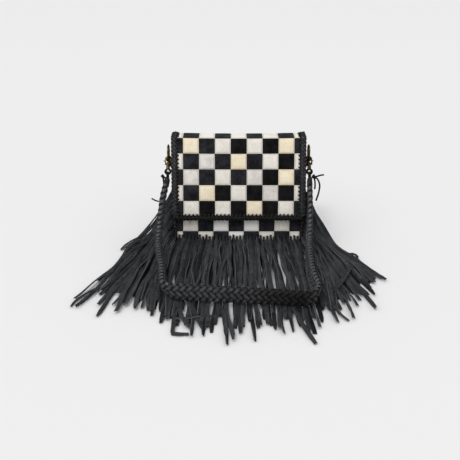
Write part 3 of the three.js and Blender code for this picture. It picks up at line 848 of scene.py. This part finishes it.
def make_edging():
    route, length = edging_route(edging_line())
    cutting = Cutting()
    plait(cutting, route, length, rubbed=edging_rub_and_highlight, **EDGING)
    cutting.finish("flap_edging_plait", OVER_FOLD, EDGE_LACE, ["flap_edging"])
    teeth = Cutting()
    count = int(length / EDGING["pitch"])
    for i in range(1, count):
        place, across, out, size = route(length * i / count)
        along = across.cross(out)
        inner = place + across * (EDGING["half_width"] * size)
        points = [inner + across * a + out * b + along * c for a, b, c in EDGING_STITCH]
        lace_along(teeth, points, width=0.0031, wall=0.0011, up=out, rings=5, crown=0.6, taper=stitch_taper)
    teeth.finish("flap_edging_lacing", OVER_FOLD, EDGE_LACE)


# The body; its squares that get a lighter copy of the white suede, painted light against the flap's shadow,
# are by row and column from the bottom left
FRONT_OUT = Vector((0, -1, LEAN)).normalized()
BODY_RISE = 0.0012
PAINTED_LIGHT_SQUARES = {(1, 3), (1, 5), (0, 4)}
TUCK_TOP = 0.15
SLUMP_FROM = 0.1
LINING_TOP = BODY_TOP - 0.0035
LINING_FLOOR = 0.0034
LINING_HALF = BODY_HALF - PANEL - 0.0008
LINING_REAR = BACK - PANEL - 0.0009


def front_at(height):
    """How far back the front panel's face is, by the height."""
    return FOOT + LEAN * height


def mouth_dip(across, height):
    """How far the panels hang down, towards the middle of the bag's mouth."""
    return sag_at(across) * 1.4 * smooth((height - SLUMP_FROM) / (BODY_TOP - SLUMP_FROM))


def belly(across, height, depth):
    """How far a panel swells out, most in its middle."""
    return depth * math.cos(math.pi * across / 0.21) * math.sin(math.pi * height / 0.17)


def front_place(across, height, out=0.0):
    """A place on the front panel: across, up it, and out from its face."""
    place = Vector((across, front_at(height), height - mouth_dip(across, height)))
    return place + FRONT_OUT * (out + belly(across, height, 0.0012) - 0.0009)


def body_tone(row, column):
    if (row + column) % 2:
        return BLACK
    if (row, column) in PAINTED_LIGHT_SQUARES:
        return PAINTED_LIGHT_WHITE
    return ASH if row > 1 and (row * 3 + column * 2) % 5 in (0, 3) else CHALK


def make_front_panel():
    out = (0, -1, 0.2)
    columns = [-PANEL_HALF] + [BODY_SEAM_X + BODY_SQUARE * i for i in range(-4, 4)] + [PANEL_HALF]
    up = BODY_SQUARE / math.hypot(1, LEAN)
    rows = [0.0005, BODY_SEAM_Z] + [BODY_SEAM_Z + up * i for i in range(1, 6)] + [BODY_TOP]
    patches = lay_patches("front_patchwork", columns, rows, body_tone, front_place, BODY_RISE, out)
    finish_piece(patches, "bag", PATCHES, ["front_panel"])
    across, heights = spaced(-PANEL_HALF, PANEL_HALF, 0.006), spaced(0.0009, BODY_TOP, 0.006)
    sheet = laid("front_backing", across, heights, lambda x, z: front_place(x, z, -0.0008))
    finish_piece(thickened(sheet, out, 0.0014), "bag", [HIDE])


def make_back_panel():
    def place(x, z):
        crease = noise.noise(Vector((x * 22, z * 14, 3.1))) * 0.0007
        return Vector((x, BACK - 0.0006 + belly(x, z, 0.0014) + crease, z - mouth_dip(x, z)))

    across, up = spaced(-PANEL_HALF, PANEL_HALF, 0.004), spaced(0.0, BODY_TOP, 0.004)
    sheet = laid("back_suede", across, up, place)
    map_seams(sheet, across, up)
    finish_piece(thickened(sheet, (0, 1, 0), 0.0018), "bag", [SEWN_HIDE], ["back_panel"])


def make_gusset():
    """Both sides and the base in one strip; the sides tuck in towards the mouth."""
    bend = 0.004
    side = [(-BODY_HALF, z) for z in spaced(BODY_TOP, bend, 0.005)]
    base = [(x, 0.0) for x in spaced(-BODY_HALF + bend, BODY_HALF - bend, 0.006)]
    corner = [(-BODY_HALF + bend - bend * math.cos(a), bend - bend * math.sin(a)) for a in (0.4, 0.8, 1.2)]
    walk = side + corner + base + [(-x, z) for x, z in reversed(side + corner)]

    def place(u, number):
        x, z = walk[number]
        front = front_at(z) + PANEL + 0.0003
        rear = BACK - PANEL - 0.0003
        tuck = 0.0045 * math.sin(math.pi * u) ** 2 * smooth(z / TUCK_TOP)
        crease = noise.noise(Vector((x * 30, u * 2.2, z * 26))) * 0.0009 * math.sin(math.pi * u)
        if z > 0.0:
            x -= math.copysign(tuck + crease + 0.0004, x)
        else:
            z = 0.0003 + abs(crease)
        return Vector((x, front + (rear - front) * u, z))

    across, down = spaced(0.0, 1.0, 0.0625), list(range(len(walk)))
    sheet = laid("gusset_suede", across, down, place)
    map_seams(sheet, [a * 0.045 for a in across], [0.005 * i for i in down])
    finish_piece(thickened(sheet, (0, 0, -1), 0.0018), "bag", [SEWN_HIDE], ["gusset"])


SEAM_PLAIT = {"laces": 4, "pitch": 0.0062, "lace": 0.003, "wall": 0.0009, "half_width": 0.00225}


def make_seam_braids():
    """The laced seams up the bag's four upright edges."""
    length = BODY_TOP - 0.0017
    for name, side in (("left", -1), ("right", 1)):
        x = side * (PANEL_HALF + 0.0003 + SEAM_PLAIT["half_width"])

        def front(distance):
            height = distance + 0.0012
            place = Vector((x, front_at(height), height)) - FRONT_OUT * 0.0008
            return place, Vector((1, 0, 0)), FRONT_OUT, 1.0

        def rear(distance):
            return Vector((x, BACK - 0.0014, distance + 0.0009)), Vector((1, 0, 0)), Vector((0, 1, 0)), 1.0

        for place, route, half_wall in (("front", front, 0.0017), ("back", rear, 0.0013)):
            cutting = Cutting()
            plait(cutting, route, length, half_wall=half_wall, **SEAM_PLAIT)
            nodes = [f"seam_braid_{place}_{name}"]
            cutting.finish(f"{place}_seam_{name}", "bag", EDGE_LACE, nodes)


def between(share, height):
    """How far back a place in the lining is, by its share of the way from the front wall to the rear."""
    front = front_at(height) + PANEL + 0.0012
    return front + (LINING_REAR - front) * share


def broad_wall(share):
    """The lining's front wall, for 0, or its rear one, for 1, puckered inwards."""
    def place(x, z):
        pucker = noise.noise(Vector((x * 30, share * 30, z * 16))) * 0.0012
        pucker = abs(pucker * math.sin(math.pi * (z - LINING_FLOOR) / (LINING_TOP - LINING_FLOOR)))
        inwards = -pucker if share else pucker
        return Vector((x, between(share, z) + inwards, z - sag_at(x) * smooth((z - SLUMP_FROM) / 0.06)))

    return place


def narrow_wall(side):
    """The lining's left wall, for -1, or its right one, for 1, tucked in like the gusset."""
    def place(share, z):
        tuck = 0.005 * math.sin(math.pi * share) ** 2 * smooth(z / TUCK_TOP)
        return Vector((side * (LINING_HALF - tuck), between(share, z), z))

    return place


def lining_floor(x, share):
    return Vector((x, between(share, LINING_FLOOR), LINING_FLOOR))


def make_lining():
    """The cotton bag inside: four walls and a floor."""
    across, deep = spaced(-LINING_HALF, LINING_HALF, 0.006), spaced(0, 1, 0.1)
    up = spaced(LINING_FLOOR, LINING_TOP, 0.006)
    walls = {
        "lining_front": (across, up, broad_wall(0), (0, 1, 0)),
        "lining_rear": (across, up, broad_wall(1), (0, -1, 0)),
        "lining_left": (deep, up, narrow_wall(-1), (1, 0, 0)),
        "lining_right": (deep, up, narrow_wall(1), (-1, 0, 0)),
        "lining_floor": (across, deep, lining_floor, (0, 0, 1)),
    }
    pieces = []
    for name, (columns, rows, place, inwards) in walls.items():
        pieces.append(laid(name, columns, rows, place))
        face_toward(pieces[-1], inwards)
    lining = joined("lining_bag", pieces)
    tidy_mesh(lining, 70, turn_out=False, merge=0.0002)
    apply(lining, "SOLIDIFY", thickness=0.0005, offset=-1)
    finish_piece(lining, "bag", [LINING], ["lining"])


# The fringe, as read: its ribs, from a root over the floor to a tip, in millimetres across, back and up
FANS = {
    "left": [
        [(-101.2, -30.8, 11), (-106, -54, 6), (-112, -155, 2.8), (-114.5, -266, 2)],
        [(-103.5, -24, 12), (-113, -46, 6), (-120, -150, 2.8), (-124, -262, 2)],
        [(-103, -8, 46), (-128, -30, 6), (-150, -135, 2.8), (-176, -250, 2)],
        [(-102.8, 8, 84), (-150, -4, 6), (-184, -108, 2.8), (-228, -214, 2)],
    ],
    "front": [
        [(-97.9, -30.4, 13), (-101, -56, 6.5), (-106.1, -160, 2.8), (-107.1, -275, 2)],
        [(-49, -30.4, 13), (-50, -58, 6.5), (-53, -170, 2.8), (-55.1, -308, 2)],
        [(0, -30.4, 13), (0, -58, 6.5), (0, -175, 2.8), (2, -320, 2)],
        [(49, -30.4, 13), (50, -58, 6.5), (54.1, -170, 2.8), (58.1, -308, 2)],
        [(97.9, -30.4, 13), (101, -56, 6.5), (108.1, -165, 2.8), (112.2, -292, 2)],
    ],
    "right": [
        [(102.9, 8, 84), (150, -46, 6), (176, -98, 2.8), (208, -160, 2)],
        [(103, -8, 46), (131, -40, 6), (152, -128, 2.8), (178, -226, 2)],
        [(103.5, -24, 12), (113, -46, 6), (122, -150, 2.8), (131, -272, 2)],
        [(101.2, -30.8, 11), (106, -54, 6), (113.5, -160, 2.8), (118, -276, 2)],
    ],
}
# Where the longest strips end on the floor, across and back, from the fringe's outline
TIPS = {
    "left": [
        (-230, -216), (-221, -238), (-190, -233), (-191, -260), (-166, -251), (-152, -236),
        (-138, -245), (-118, -259), (-104, -276), (-201, -165), (-186, -60), (-178, -85), (-189, -126),
    ],
    "front": [
        (-95, -256), (-79, -283), (-65, -287), (-59, -309), (-45, -306), (-25, -310), (-18, -326),
        (-14, -319), (-12, -289), (16, -318), (29, -275), (38, -283), (54, -304), (64, -297), (84, -304),
        (90, -301), (100, -289), (72, -286), (46, -292), (-36, -298), (5, -285), (-50, -280),
    ],
    "right": [
        (208, -154), (209, -165), (181, -169), (186, -206), (169, -207), (174, -244), (157, -236),
        (146, -245), (141, -268), (122, -276), (179, -103), (200, -140),
    ],
}
# Strips that lie loose over the others: their width as a share, and their way across, back and up
LOOSE = {
    "left": [
        (0.55, [(-140, -22, 14), (-158, -42, 9), (-170, -52, 6), (-186, -60, 2)]),
        (0.6, [(-150, -48, 10), (-165, -72, 8), (-178, -85, 3)]),
        (0.5, [(-196, -186, 5), (-214, -206, 3), (-223, -222, 2), (-226, -236, 2)]),
    ],
    "front": [
        (0.95, [(-84, -150, 6), (-85.9, -234, 6), (-85.8, -269, 3), (-85.6, -297, 2.5), (-85, -302, 2.5),
                (-81, -303.4, 2.5), (-65, -303, 2)]),
        (1.0, [(58, -170, 6), (62.4, -218, 8), (68.7, -239, 7), (76, -274, 4), (84.3, -304, 3),
               (90.5, -324, 2)]),
        (1.2, [(-78, -210, 6), (-70, -231, 8), (-57.7, -264, 5), (-46.3, -293, 2)]),
        (0.9, [(-84, -230, 6), (-79, -257, 8), (-71.1, -279, 5), (-60.2, -293, 2)]),
        (0.6, [(-30, -262, 3), (-52, -268, 6), (-68, -272, 6), (-84, -271, 5)]),
    ],
    "right": [
        (0.75, [(138, -46, 12), (152, -54, 4), (162, -77, 3), (165.5, -83, 3), (174, -79.5, 4),
                (181.4, -86.5, 4), (179, -103.6, 3), (189, -123, 3), (207.5, -155, 2)]),
        (1.0, [(129, -203, 4), (133, -197, 9), (142, -183, 11), (158.5, -147, 11), (164, -132, 9),
               (168, -120, 4)]),
        (0.6, [(118, -205, 6), (124, -232, 5), (131, -258, 3), (139, -272, 2)]),
    ],
}
STRIPS = {"left": 50, "front": 72, "right": 50}
FIRST_SEED = {"left": 100, "front": 0, "right": 200}
STRIP_WIDTH = 0.0061
STRIP_WALL = 0.0013
STRIP_SECTION = [
    (-0.5, -0.6), (0, 0.15), (0.5, -0.6), (0.5, 0.25), (0.27, 0.95), (0, 1.15), (-0.27, 0.95), (-0.5, 0.25),
]
CUT_EDGES = [1.0, 0.6, 1.0, 1.0, 0.15, 0.0, 0.15, 1.0]
LAYER_STEP = 0.0019
LOWEST_HOLE = 0.0102
STRIP_RINGS = 30
LOOSE_RINGS = 26
LOOSE_SHADE = 0.6
KNOT_SHADE = 0.3


def metres(points):
    """Places in metres, from places in millimetres."""
    return [Vector(point) * 0.001 for point in points]


def fan_rib(fan, share):
    """The line of one strip of the fan, before its own wandering."""
    return [on_line([rib[i] for rib in fan], share, even=True) for i in range(4)]


def nearest_strip(routes, used, tip):
    """The free strip, and the distance along it, that passes nearest a tip."""
    best = None
    for number, route in enumerate(routes):
        if number in used:
            continue
        for step in range(12, 41):
            distance = route.length * step / 36
            off = (route.at(distance).xy - tip).length
            if best is None or off < best[0]:
                best = (off, number, distance)
    return best[1], best[2]


def hang_strip(cutting, seed, route, across_of, reach, pull, layer):
    """One strip of the fringe, from its hole over the floor to its cut end."""
    marks = [reach * (i / STRIP_RINGS) ** 1.12 for i in range(STRIP_RINGS + 1)]
    calm = 0.4 if layer < 1.5 else 1.0
    centres = []
    for d in marks:
        free = smooth((d - 0.012) / 0.07)
        way = (route.at(d + 0.002) - route.at(d - 0.002)).normalized()
        side = Vector((way.y, -way.x, 0))
        side = side.normalized() if side.length > 0.01 else Vector((1, 0, 0))
        drift = (wander(seed, d, 0.12) * 0.007 + wander(seed + 31, d, 0.04) * 0.0012) * free * calm
        shift = pull * smooth((d - 0.05) / max(reach - 0.05, 0.02))
        point = route.at(d) + side * drift + Vector((shift.x, shift.y, 0))
        settle = smooth((d - 0.02) / 0.05) * (1 - 0.45 * smooth((d - reach + 0.06) / 0.06))
        curl = max(wander(seed + 57, d, 0.045), -0.4) * 0.0011
        point.z += (layer - 1.2) * LAYER_STEP * settle + curl * free
        centres.append(point)
    own_width = STRIP_WIDTH * (0.86 + 0.28 * chance(seed))
    taper = 0.15 + 0.45 * chance(seed + 9)
    sideways, upwards, widths = [], [], []
    for i, d in enumerate(marks):
        way = (centres[min(i + 1, STRIP_RINGS)] - centres[max(i - 1, 0)]).normalized()
        up = across_of(min(d / route.length, 1.0)).cross(way).normalized()
        lean = 1.25 * wander(seed + 83, d, 0.09) * smooth(d / 0.05)
        turned = Matrix.Rotation(lean, 3, way)
        sideways.append(turned @ way.cross(up).normalized())
        upwards.append(turned @ up)
        end = smooth((d - reach + 0.012) / 0.012)
        start = 0.32 + 0.68 * smooth((d - 0.001) / 0.014)
        widths.append(own_width * start * (1 - end * taper))
        low = abs(sideways[-1].z) * widths[-1] / 2 + abs(upwards[-1].z) * STRIP_WALL * 0.6
        centres[i].z = max(centres[i].z, low + 0.0001)
    # Each strip's tone: a random part, plus a painted shade that darkens the lower layers beneath the others
    tone = chance(seed + 41) * 0.42 + 0.16 * layer
    cutting.strip(centres, sideways, upwards, widths, STRIP_WALL, STRIP_SECTION, shade=tone, edge=CUT_EDGES)


def hole_rise(hole):
    """How far a hole along the foot of the front is above the lowest place for one."""
    return 0.0038 * chance(hole + 7)


def strip_routes(place, fan, shares):
    """The line of every strip of a fan; two strips leave each hole."""
    routes = []
    for i, share in enumerate(shares):
        rib = fan_rib(fan, share)
        hole = (i // 2 + 0.5) * 2 / len(shares)
        root = fan_rib(fan, hole + (share - hole) * 0.4)[0]
        if place == "front":
            start = LOWEST_HOLE + hole_rise(i // 2)
            top = Vector((root.x, front_at(start) - 0.0012, start))
            low = Vector((root.x, front_at(0.0065) - 0.0042, start - 0.0045))
            routes.append(Route([top, low] + rib[1:]))
        else:
            routes.append(Route([root] + rib[1:]))
    return routes


def make_fringe():
    for place, ribs in FANS.items():
        fan = [metres(rib) for rib in ribs]
        count = STRIPS[place]
        shares = [(i + 0.5) / count for i in range(count)]
        routes = strip_routes(place, fan, shares)
        used = {}
        for tip in metres(TIPS[place]):
            number, reach = nearest_strip(routes, used, tip)
            used[number] = (reach, tip - routes[number].at(reach).xy)
        turned = -1 if place == "front" else 1
        cutting = Cutting()
        for i, route in enumerate(routes):
            one, two = fan_rib(fan, max(shares[i] - 0.01, 0.0)), fan_rib(fan, min(shares[i] + 0.01, 1.0))

            def across_of(along):
                return (on_line(two, along) - on_line(one, along)).normalized() * turned

            reach, pull = used.get(i, (route.length * (0.8 + 0.14 * chance(i + 3)), Vector((0, 0))))
            hang_strip(cutting, FIRST_SEED[place] + i, route, across_of, reach, pull, (i * 5 % 8) / 2)
        lay_loose(cutting, place)
        nodes = [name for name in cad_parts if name.startswith(f"fringe_{place}_")]
        cutting.finish(f"fringe_{place}", "bag", FRINGE, nodes)
        make_knots(place, fan, count // 2)


def lay_loose(cutting, place):
    for number, (size, points) in enumerate(LOOSE[place]):
        route = Route(metres(points))
        centres = [route.at(route.length * i / LOOSE_RINGS) for i in range(LOOSE_RINGS + 1)]
        sideways, upwards, widths = [], [], []
        for i, way in enumerate(directions(centres)):
            across = way.cross(Vector((0, 0, 1))).normalized()
            turned = Matrix.Rotation(0.5 * wander(number + 400, i / LOOSE_RINGS, 0.3), 3, way)
            sideways.append(turned @ across)
            upwards.append(turned @ across.cross(way))
            widths.append(STRIP_WIDTH * size * (1 - 0.3 * smooth((i - LOOSE_RINGS + 3) / 3)))
        values = {"shade": LOOSE_SHADE, "edge": CUT_EDGES}
        cutting.strip(centres, sideways, upwards, widths, STRIP_WALL, STRIP_SECTION, **values)


def make_knots(place, fan, holes):
    """The loop of each pair of strips, drawn tight over them where they leave their hole."""
    cutting = Cutting()
    for hole in range(holes):
        share = (hole + 0.5) / holes
        root = fan_rib(fan, share)[0]
        along = fan_rib(fan, min(share + 0.02, 1.0))[0] - fan_rib(fan, max(share - 0.02, 0.0))[0]
        along.normalize()
        if place == "front":
            height = LOWEST_HOLE - 0.0008 + hole_rise(hole)
            out, half = FRONT_OUT, 0.0014
            root = Vector((root.x, front_at(height) - 0.001, height))
            along = (along + Vector((0, 0, 0.9 * (chance(hole + 19) - 0.5)))).normalized()
        else:
            out, half = Vector((math.copysign(1, root.x), 0, 0)), 0.0026
        crown = 0.0017 + 0.0004 * chance(hole)
        arch = ((-1, -0.0008), (-0.7, 0.0011), (0, crown), (0.7, 0.0011), (1, -0.0008))
        points = [root + along * half * a + out * up for a, up in arch]
        width = 0.0022 + 0.0008 * chance(hole + 3)
        lace_along(cutting, points, width, wall=0.001, up=out, rings=8, shade=KNOT_SHADE)
    cutting.finish(f"fringe_{place}_knots", "bag", FRINGE)


# The strap: across as a share of the rings' distance, and forward from the foot and up in millimetres
STRAP_ROUTE = [
    (-1.029, -13.5, 92), (-1.059, -4.5, 78), (-1.084, 9.5, 56), (-1.098, 27.5, 36), (-1.101, 49.5, 24),
    (-1.084, 68.5, 21.2), (-1.057, 88.5, 21), (-1.009, 117.5, 21), (-0.964, 147.5, 21), (-0.936, 171.5, 21),
    (-0.9, 187.5, 21), (-0.784, 196, 21), (-0.446, 200.5, 21), (0, 206, 21), (0.446, 211.5, 21),
    (0.749, 215.5, 21), (0.865, 210.5, 21), (0.909, 195.5, 21), (0.896, 172.5, 21), (0.887, 147.5, 21),
    (0.9, 117.5, 21), (0.918, 88.5, 21), (0.934, 68.5, 21.2), (0.952, 49.5, 24), (0.977, 27.5, 36),
    (0.993, 9.5, 56), (0.998, -4.5, 78), (0.999, -13.5, 92),
]
# How far it leans over, in degrees, by the share of its length
STRAP_ROLL = [
    (0, 0), (0.08, 4), (0.2, 9), (0.3, 14), (0.345, 20), (0.38, -4), (0.42, -14), (0.5, -8), (0.58, 2),
    (0.62, 6), (0.66, 18), (0.7, 14), (0.8, 9), (0.93, 4), (1, 0),
]
# How much the strap's crowns are lightened, for wear and painted highlight, by the share of its length: least
# at the band's right end, a painted shade there
STRAP_RUB_AND_HIGHLIGHT = [
    (0, 1.25), (0.34, 1.25), (0.38, 1.05), (0.5, 0.95), (0.56, 0.6), (0.6, 0.5), (0.64, 1.3), (1, 1.25),
]
STRAP_PLAIT = {
    "laces": 12, "pitch": 0.009, "lace": 0.0056, "wall": 0.0017, "half_width": 0.012, "half_wall": 0.004,
    "floats": 2,
}
STRAP_STEPS = 700
BINDING_PITCH = 0.0022
BINDING_WIDTH = 0.0024
BINDING_WALL = 0.0011


def by_share(table, share):
    return float(np.interp(share, *zip(*table)))


def below_ring(side, distance, across=RING_AT.x):
    """A place on the line of a side's hook, a distance below the middle of its ring."""
    return Vector((side * across, RING_AT.y, RING_AT.z)) + HOOK_WAY * distance


def strap_points():
    middle = [Vector((a * RING_AT.x, FOOT - f * 0.001, z * 0.001)) for a, f, z in STRAP_ROUTE]
    return [below_ring(-1, STRAP_FROM), *middle, below_ring(1, STRAP_FROM)]


def strap_frames(line):
    """Places along the strap, each with the way across it and the way out of its outer face."""
    centres = [line.at(line.length * i / STRAP_STEPS) for i in range(STRAP_STEPS + 1)]
    out = Vector((-1, 0, 0))
    frames = []
    for i, way in enumerate(directions(centres)):
        out = (out - way * out.dot(way)).normalized()
        roll = math.radians(by_share(STRAP_ROLL, i / STRAP_STEPS))
        turned = Matrix.Rotation(roll, 3, way)
        frames.append((centres[i], turned @ way.cross(out), turned @ out))
    return frames


def make_strap():
    line = Route(strap_points(), fine=24)
    frames = strap_frames(line)

    def route(distance):
        place = min(max(distance / line.length, 0.0), 1.0) * STRAP_STEPS
        low = min(int(place), STRAP_STEPS - 1)
        size = 0.62 + 0.38 * smooth(min(distance, line.length - distance) / 0.022)
        return (*(a.lerp(b, place - low) for a, b in zip(frames[low], frames[low + 1])), size)

    cutting = Cutting()
    plait(cutting, route, line.length, rubbed=lambda share: by_share(STRAP_RUB_AND_HIGHLIGHT, share), **STRAP_PLAIT)
    cutting.finish("strap_plait", "strap", STRAP_LACE, ["strap"])
    binding = Cutting()
    for start in (0.0016, line.length - 0.0108):
        for turn in range(5):
            place, across, out, size = route(start + BINDING_PITCH * turn)
            half_width = STRAP_PLAIT["half_width"] * size + 0.0002
            half_wall = STRAP_PLAIT["half_wall"] * (0.4 + 0.6 * size) + 0.0003
            ring = [oval(j / 16, half_width, half_wall)[0] for j in range(17)]
            spokes = [across * a + out * b for a, b in ring]
            centres, upwards = [place + spoke for spoke in spokes], [spoke.normalized() for spoke in spokes]
            way = across.cross(out)
            binding.strip(centres, way, upwards, BINDING_WIDTH, BINDING_WALL, LACE_SECTION, crown=BOUND_CROWN)
    binding.finish("strap_bindings", "strap", EDGE_LACE)
    return line.length


# The hardware and its ties
def polished(node_name, body, material):
    """A smoother twin of a small cast piece of the model, merged and shaded."""
    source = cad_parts[node_name]
    twin = bpy.data.objects.new(f"{node_name}_finished", source.data.copy())
    twin.data.materials.clear()
    bpy.context.scene.collection.objects.link(twin)
    tidy_mesh(twin, 40)
    finish_piece(twin, body, [material], [node_name])


EYE_RADIUS = 0.004
WHIP_RADIUS = 0.0016
WHIP_TURNS = 13
# Where each tie's lace ends go from its knot, in millimetres: outwards, back and up
TIE_ENDS = {
    "left": [[(-0.5, 3, -14), (0, 1, -28), (4, -6, -38.5), (11, -10, -37), (18.5, -11, -32.5)]],
    "right": [
        [(5, 0, 1), (10, -1, 3), (15, -2, 4)],
        [(1.5, -1, -7), (2, -2, -14), (1.5, -3, -20)],
        [(5, -1, -3), (9, -3, -12), (8, -5, -24), (4, -7, -38)],
    ],
}


def circled(centre, one, two, radius, count, wave=Vector((0, 0, 0))):
    """Points round a circle between two ways, waving twice to and fro, the last on the first."""
    points = []
    for j in range(count + 1):
        angle = 2 * math.pi * j / count
        spoke = one * math.cos(angle) + two * math.sin(angle) + wave * math.sin(2 * angle)
        points.append(centre + spoke * radius)
    return points


def make_tie(name, side):
    """The lace round a hook's eye and the strap's end, its knot and its loose ends."""
    lace_at = below_ring(side, 0.0389)
    knot = below_ring(side, 0.0419, across=0.1196)
    eye = below_ring(side, 0.0332)
    level = HOOK_WAY.cross(Vector((1, 0, 0)))
    cutting = Cutting()
    for shift, radius in ((-0.0009, 0.0046), (0.0011, 0.0049)):
        ring = circled(lace_at + Vector((side * shift, 0, 0)), HOOK_WAY, level, radius, 14)
        lace_along(cutting, ring, width=0.0021, wall=0.0016, up=(1, 0, 0), rings=26, crown=0.7)
    for number in range(4):
        turn = Matrix.Rotation(number * 0.8, 3, "X") @ Matrix.Rotation(0.5 + number * 0.75, 3, "Y")
        ring = circled(knot, turn.col[0], turn.col[1], 0.0028, 10, turn.col[2] * 0.06)
        lace_along(cutting, ring, width=0.0026, wall=0.0015, up=turn.col[2], rings=18)
    for turn in range(WHIP_TURNS):
        angle = math.radians(-50 + 280 / (WHIP_TURNS - 1) * turn)
        spoke = Vector((math.cos(angle), 0, 0)) + HOOK_WAY * math.sin(angle)
        ring = circled(eye + spoke * EYE_RADIUS, spoke, level, WHIP_RADIUS, 8)
        lace_along(cutting, ring, width=0.0018, wall=0.0006, up=spoke, rings=8, crown=0.6)
    neck = [lace_at + HOOK_WAY * 0.0045, lace_at.lerp(knot, 0.5) + HOOK_WAY * 0.003, knot]
    lace_along(cutting, neck, width=0.0026, wall=0.0018, up=(0, 0, 1), rings=6, crown=0.6)
    for end in TIE_ENDS[name]:
        points = [knot] + [knot + Vector((side * x, y, z)) * 0.001 for x, y, z in end]
        rings = 4 * len(points)
        lace_along(cutting, points, width=0.0027, wall=0.0013, up=(0.3, 1, 0.4), rings=rings, crown=0.7)
    cutting.finish(f"tie_{name}", "strap", EDGE_LACE, [f"strap_tie_{name}"])


def make_hardware():
    for name, side in (("left", -1), ("right", 1)):
        polished(f"ring_{name}", f"ring_{name}", BRASS)
        polished(f"snap_hook_{name}", f"hook_{name}", BRASS)
        polished(f"hook_gate_{name}", f"gate_{name}", BRASS)
        polished(f"swivel_eye_{name}", "strap", BRASS)
        polished(f"ring_tab_{name}", "bag", HIDE)
        make_tie(name, side)
    for name, body in (("snap_socket", "bag"), ("snap_stud", "flap")):
        polished(name, body, STEEL)


# The room; the camera's focal length and the picture's width are in pixels
CAMERA_AT = (-0.0137, -1.0024, 0.4548)
CAMERA_DOWN = 24
CAMERA_FOCUS = 663
PICTURE_WIDTH = 460
SENSOR_WIDTH = 36
FLOOR_DYE = (0.83, 0.828, 0.832)
FLOOR_MIRRORED = (0.2, 0.2, 0.2)
SKY = 0.785
SKY_MIRRORED = 0.1
# Each sun's strength, its width in degrees and the way that it shines
SUNS = {"key": (0.6, 54, (0.5, 0.55, -1.0)), "glint": (0.45, 12, (0.35, 0.6, -1.0))}


def mirrored(tree):
    """1 for what a shiny surface mirrors and 0 for all else."""
    return node(tree, "LightPath").outputs["Is Glossy Ray"]


def lay_floor():
    lone()
    bpy.ops.mesh.primitive_plane_add(size=14, location=(0, 2, -0.0003))
    floor = bpy.context.object
    floor.name = "floor"
    material, tree = blank("studio floor", Roughness=0.9, Specular_IOR_Level=0.2)
    seen = blended(tree, mirrored(tree), colour(*FLOOR_DYE), colour(*FLOOR_MIRRORED))
    tree.links.new(seen, tree.nodes["Principled BSDF"].inputs["Base Color"])
    floor.data.materials.append(material)


def light_sky():
    world = bpy.data.worlds.new("studio")
    bpy.context.scene.world = world
    world.use_nodes = True
    tree = world.node_tree
    tree.nodes.remove(tree.nodes["Background"])
    skies = []
    for strength in (SKY, SKY_MIRRORED):
        sky = node(tree, "Background", {"Color": colour(1.0, 1.0, 1.0), "Strength": strength})
        skies.append(sky.outputs[0])
    mix = node(tree, "MixShader", {0: mirrored(tree), 1: skies[0], 2: skies[1]})
    tree.links.new(mix.outputs[0], tree.nodes["World Output"].inputs["Surface"])


def make_room():
    lay_floor()
    light_sky()
    scene = bpy.context.scene
    for name, (energy, width, way) in SUNS.items():
        lamp = bpy.data.lights.new(name, "SUN")
        lamp.energy = energy
        lamp.angle = math.radians(width)
        holder = bpy.data.objects.new(name, lamp)
        holder.rotation_euler = Vector(way).to_track_quat("-Z", "Y").to_euler()
        scene.collection.objects.link(holder)
    camera = bpy.data.cameras.new("camera")
    camera.sensor_width = SENSOR_WIDTH
    camera.lens = SENSOR_WIDTH * CAMERA_FOCUS / PICTURE_WIDTH
    holder = bpy.data.objects.new("camera", camera)
    holder.location = CAMERA_AT
    holder.rotation_euler = (math.radians(90 - CAMERA_DOWN), 0, 0)
    scene.collection.objects.link(holder)
    scene.camera = holder
    scene.view_settings.view_transform = "Standard"


make_room()
make_flap()
make_edging()
make_front_panel()
make_back_panel()
make_gusset()
make_seam_braids()
make_lining()
make_fringe()
strap_length = make_strap()
make_hardware()

print(f"strap length {strap_length:.4f} m")
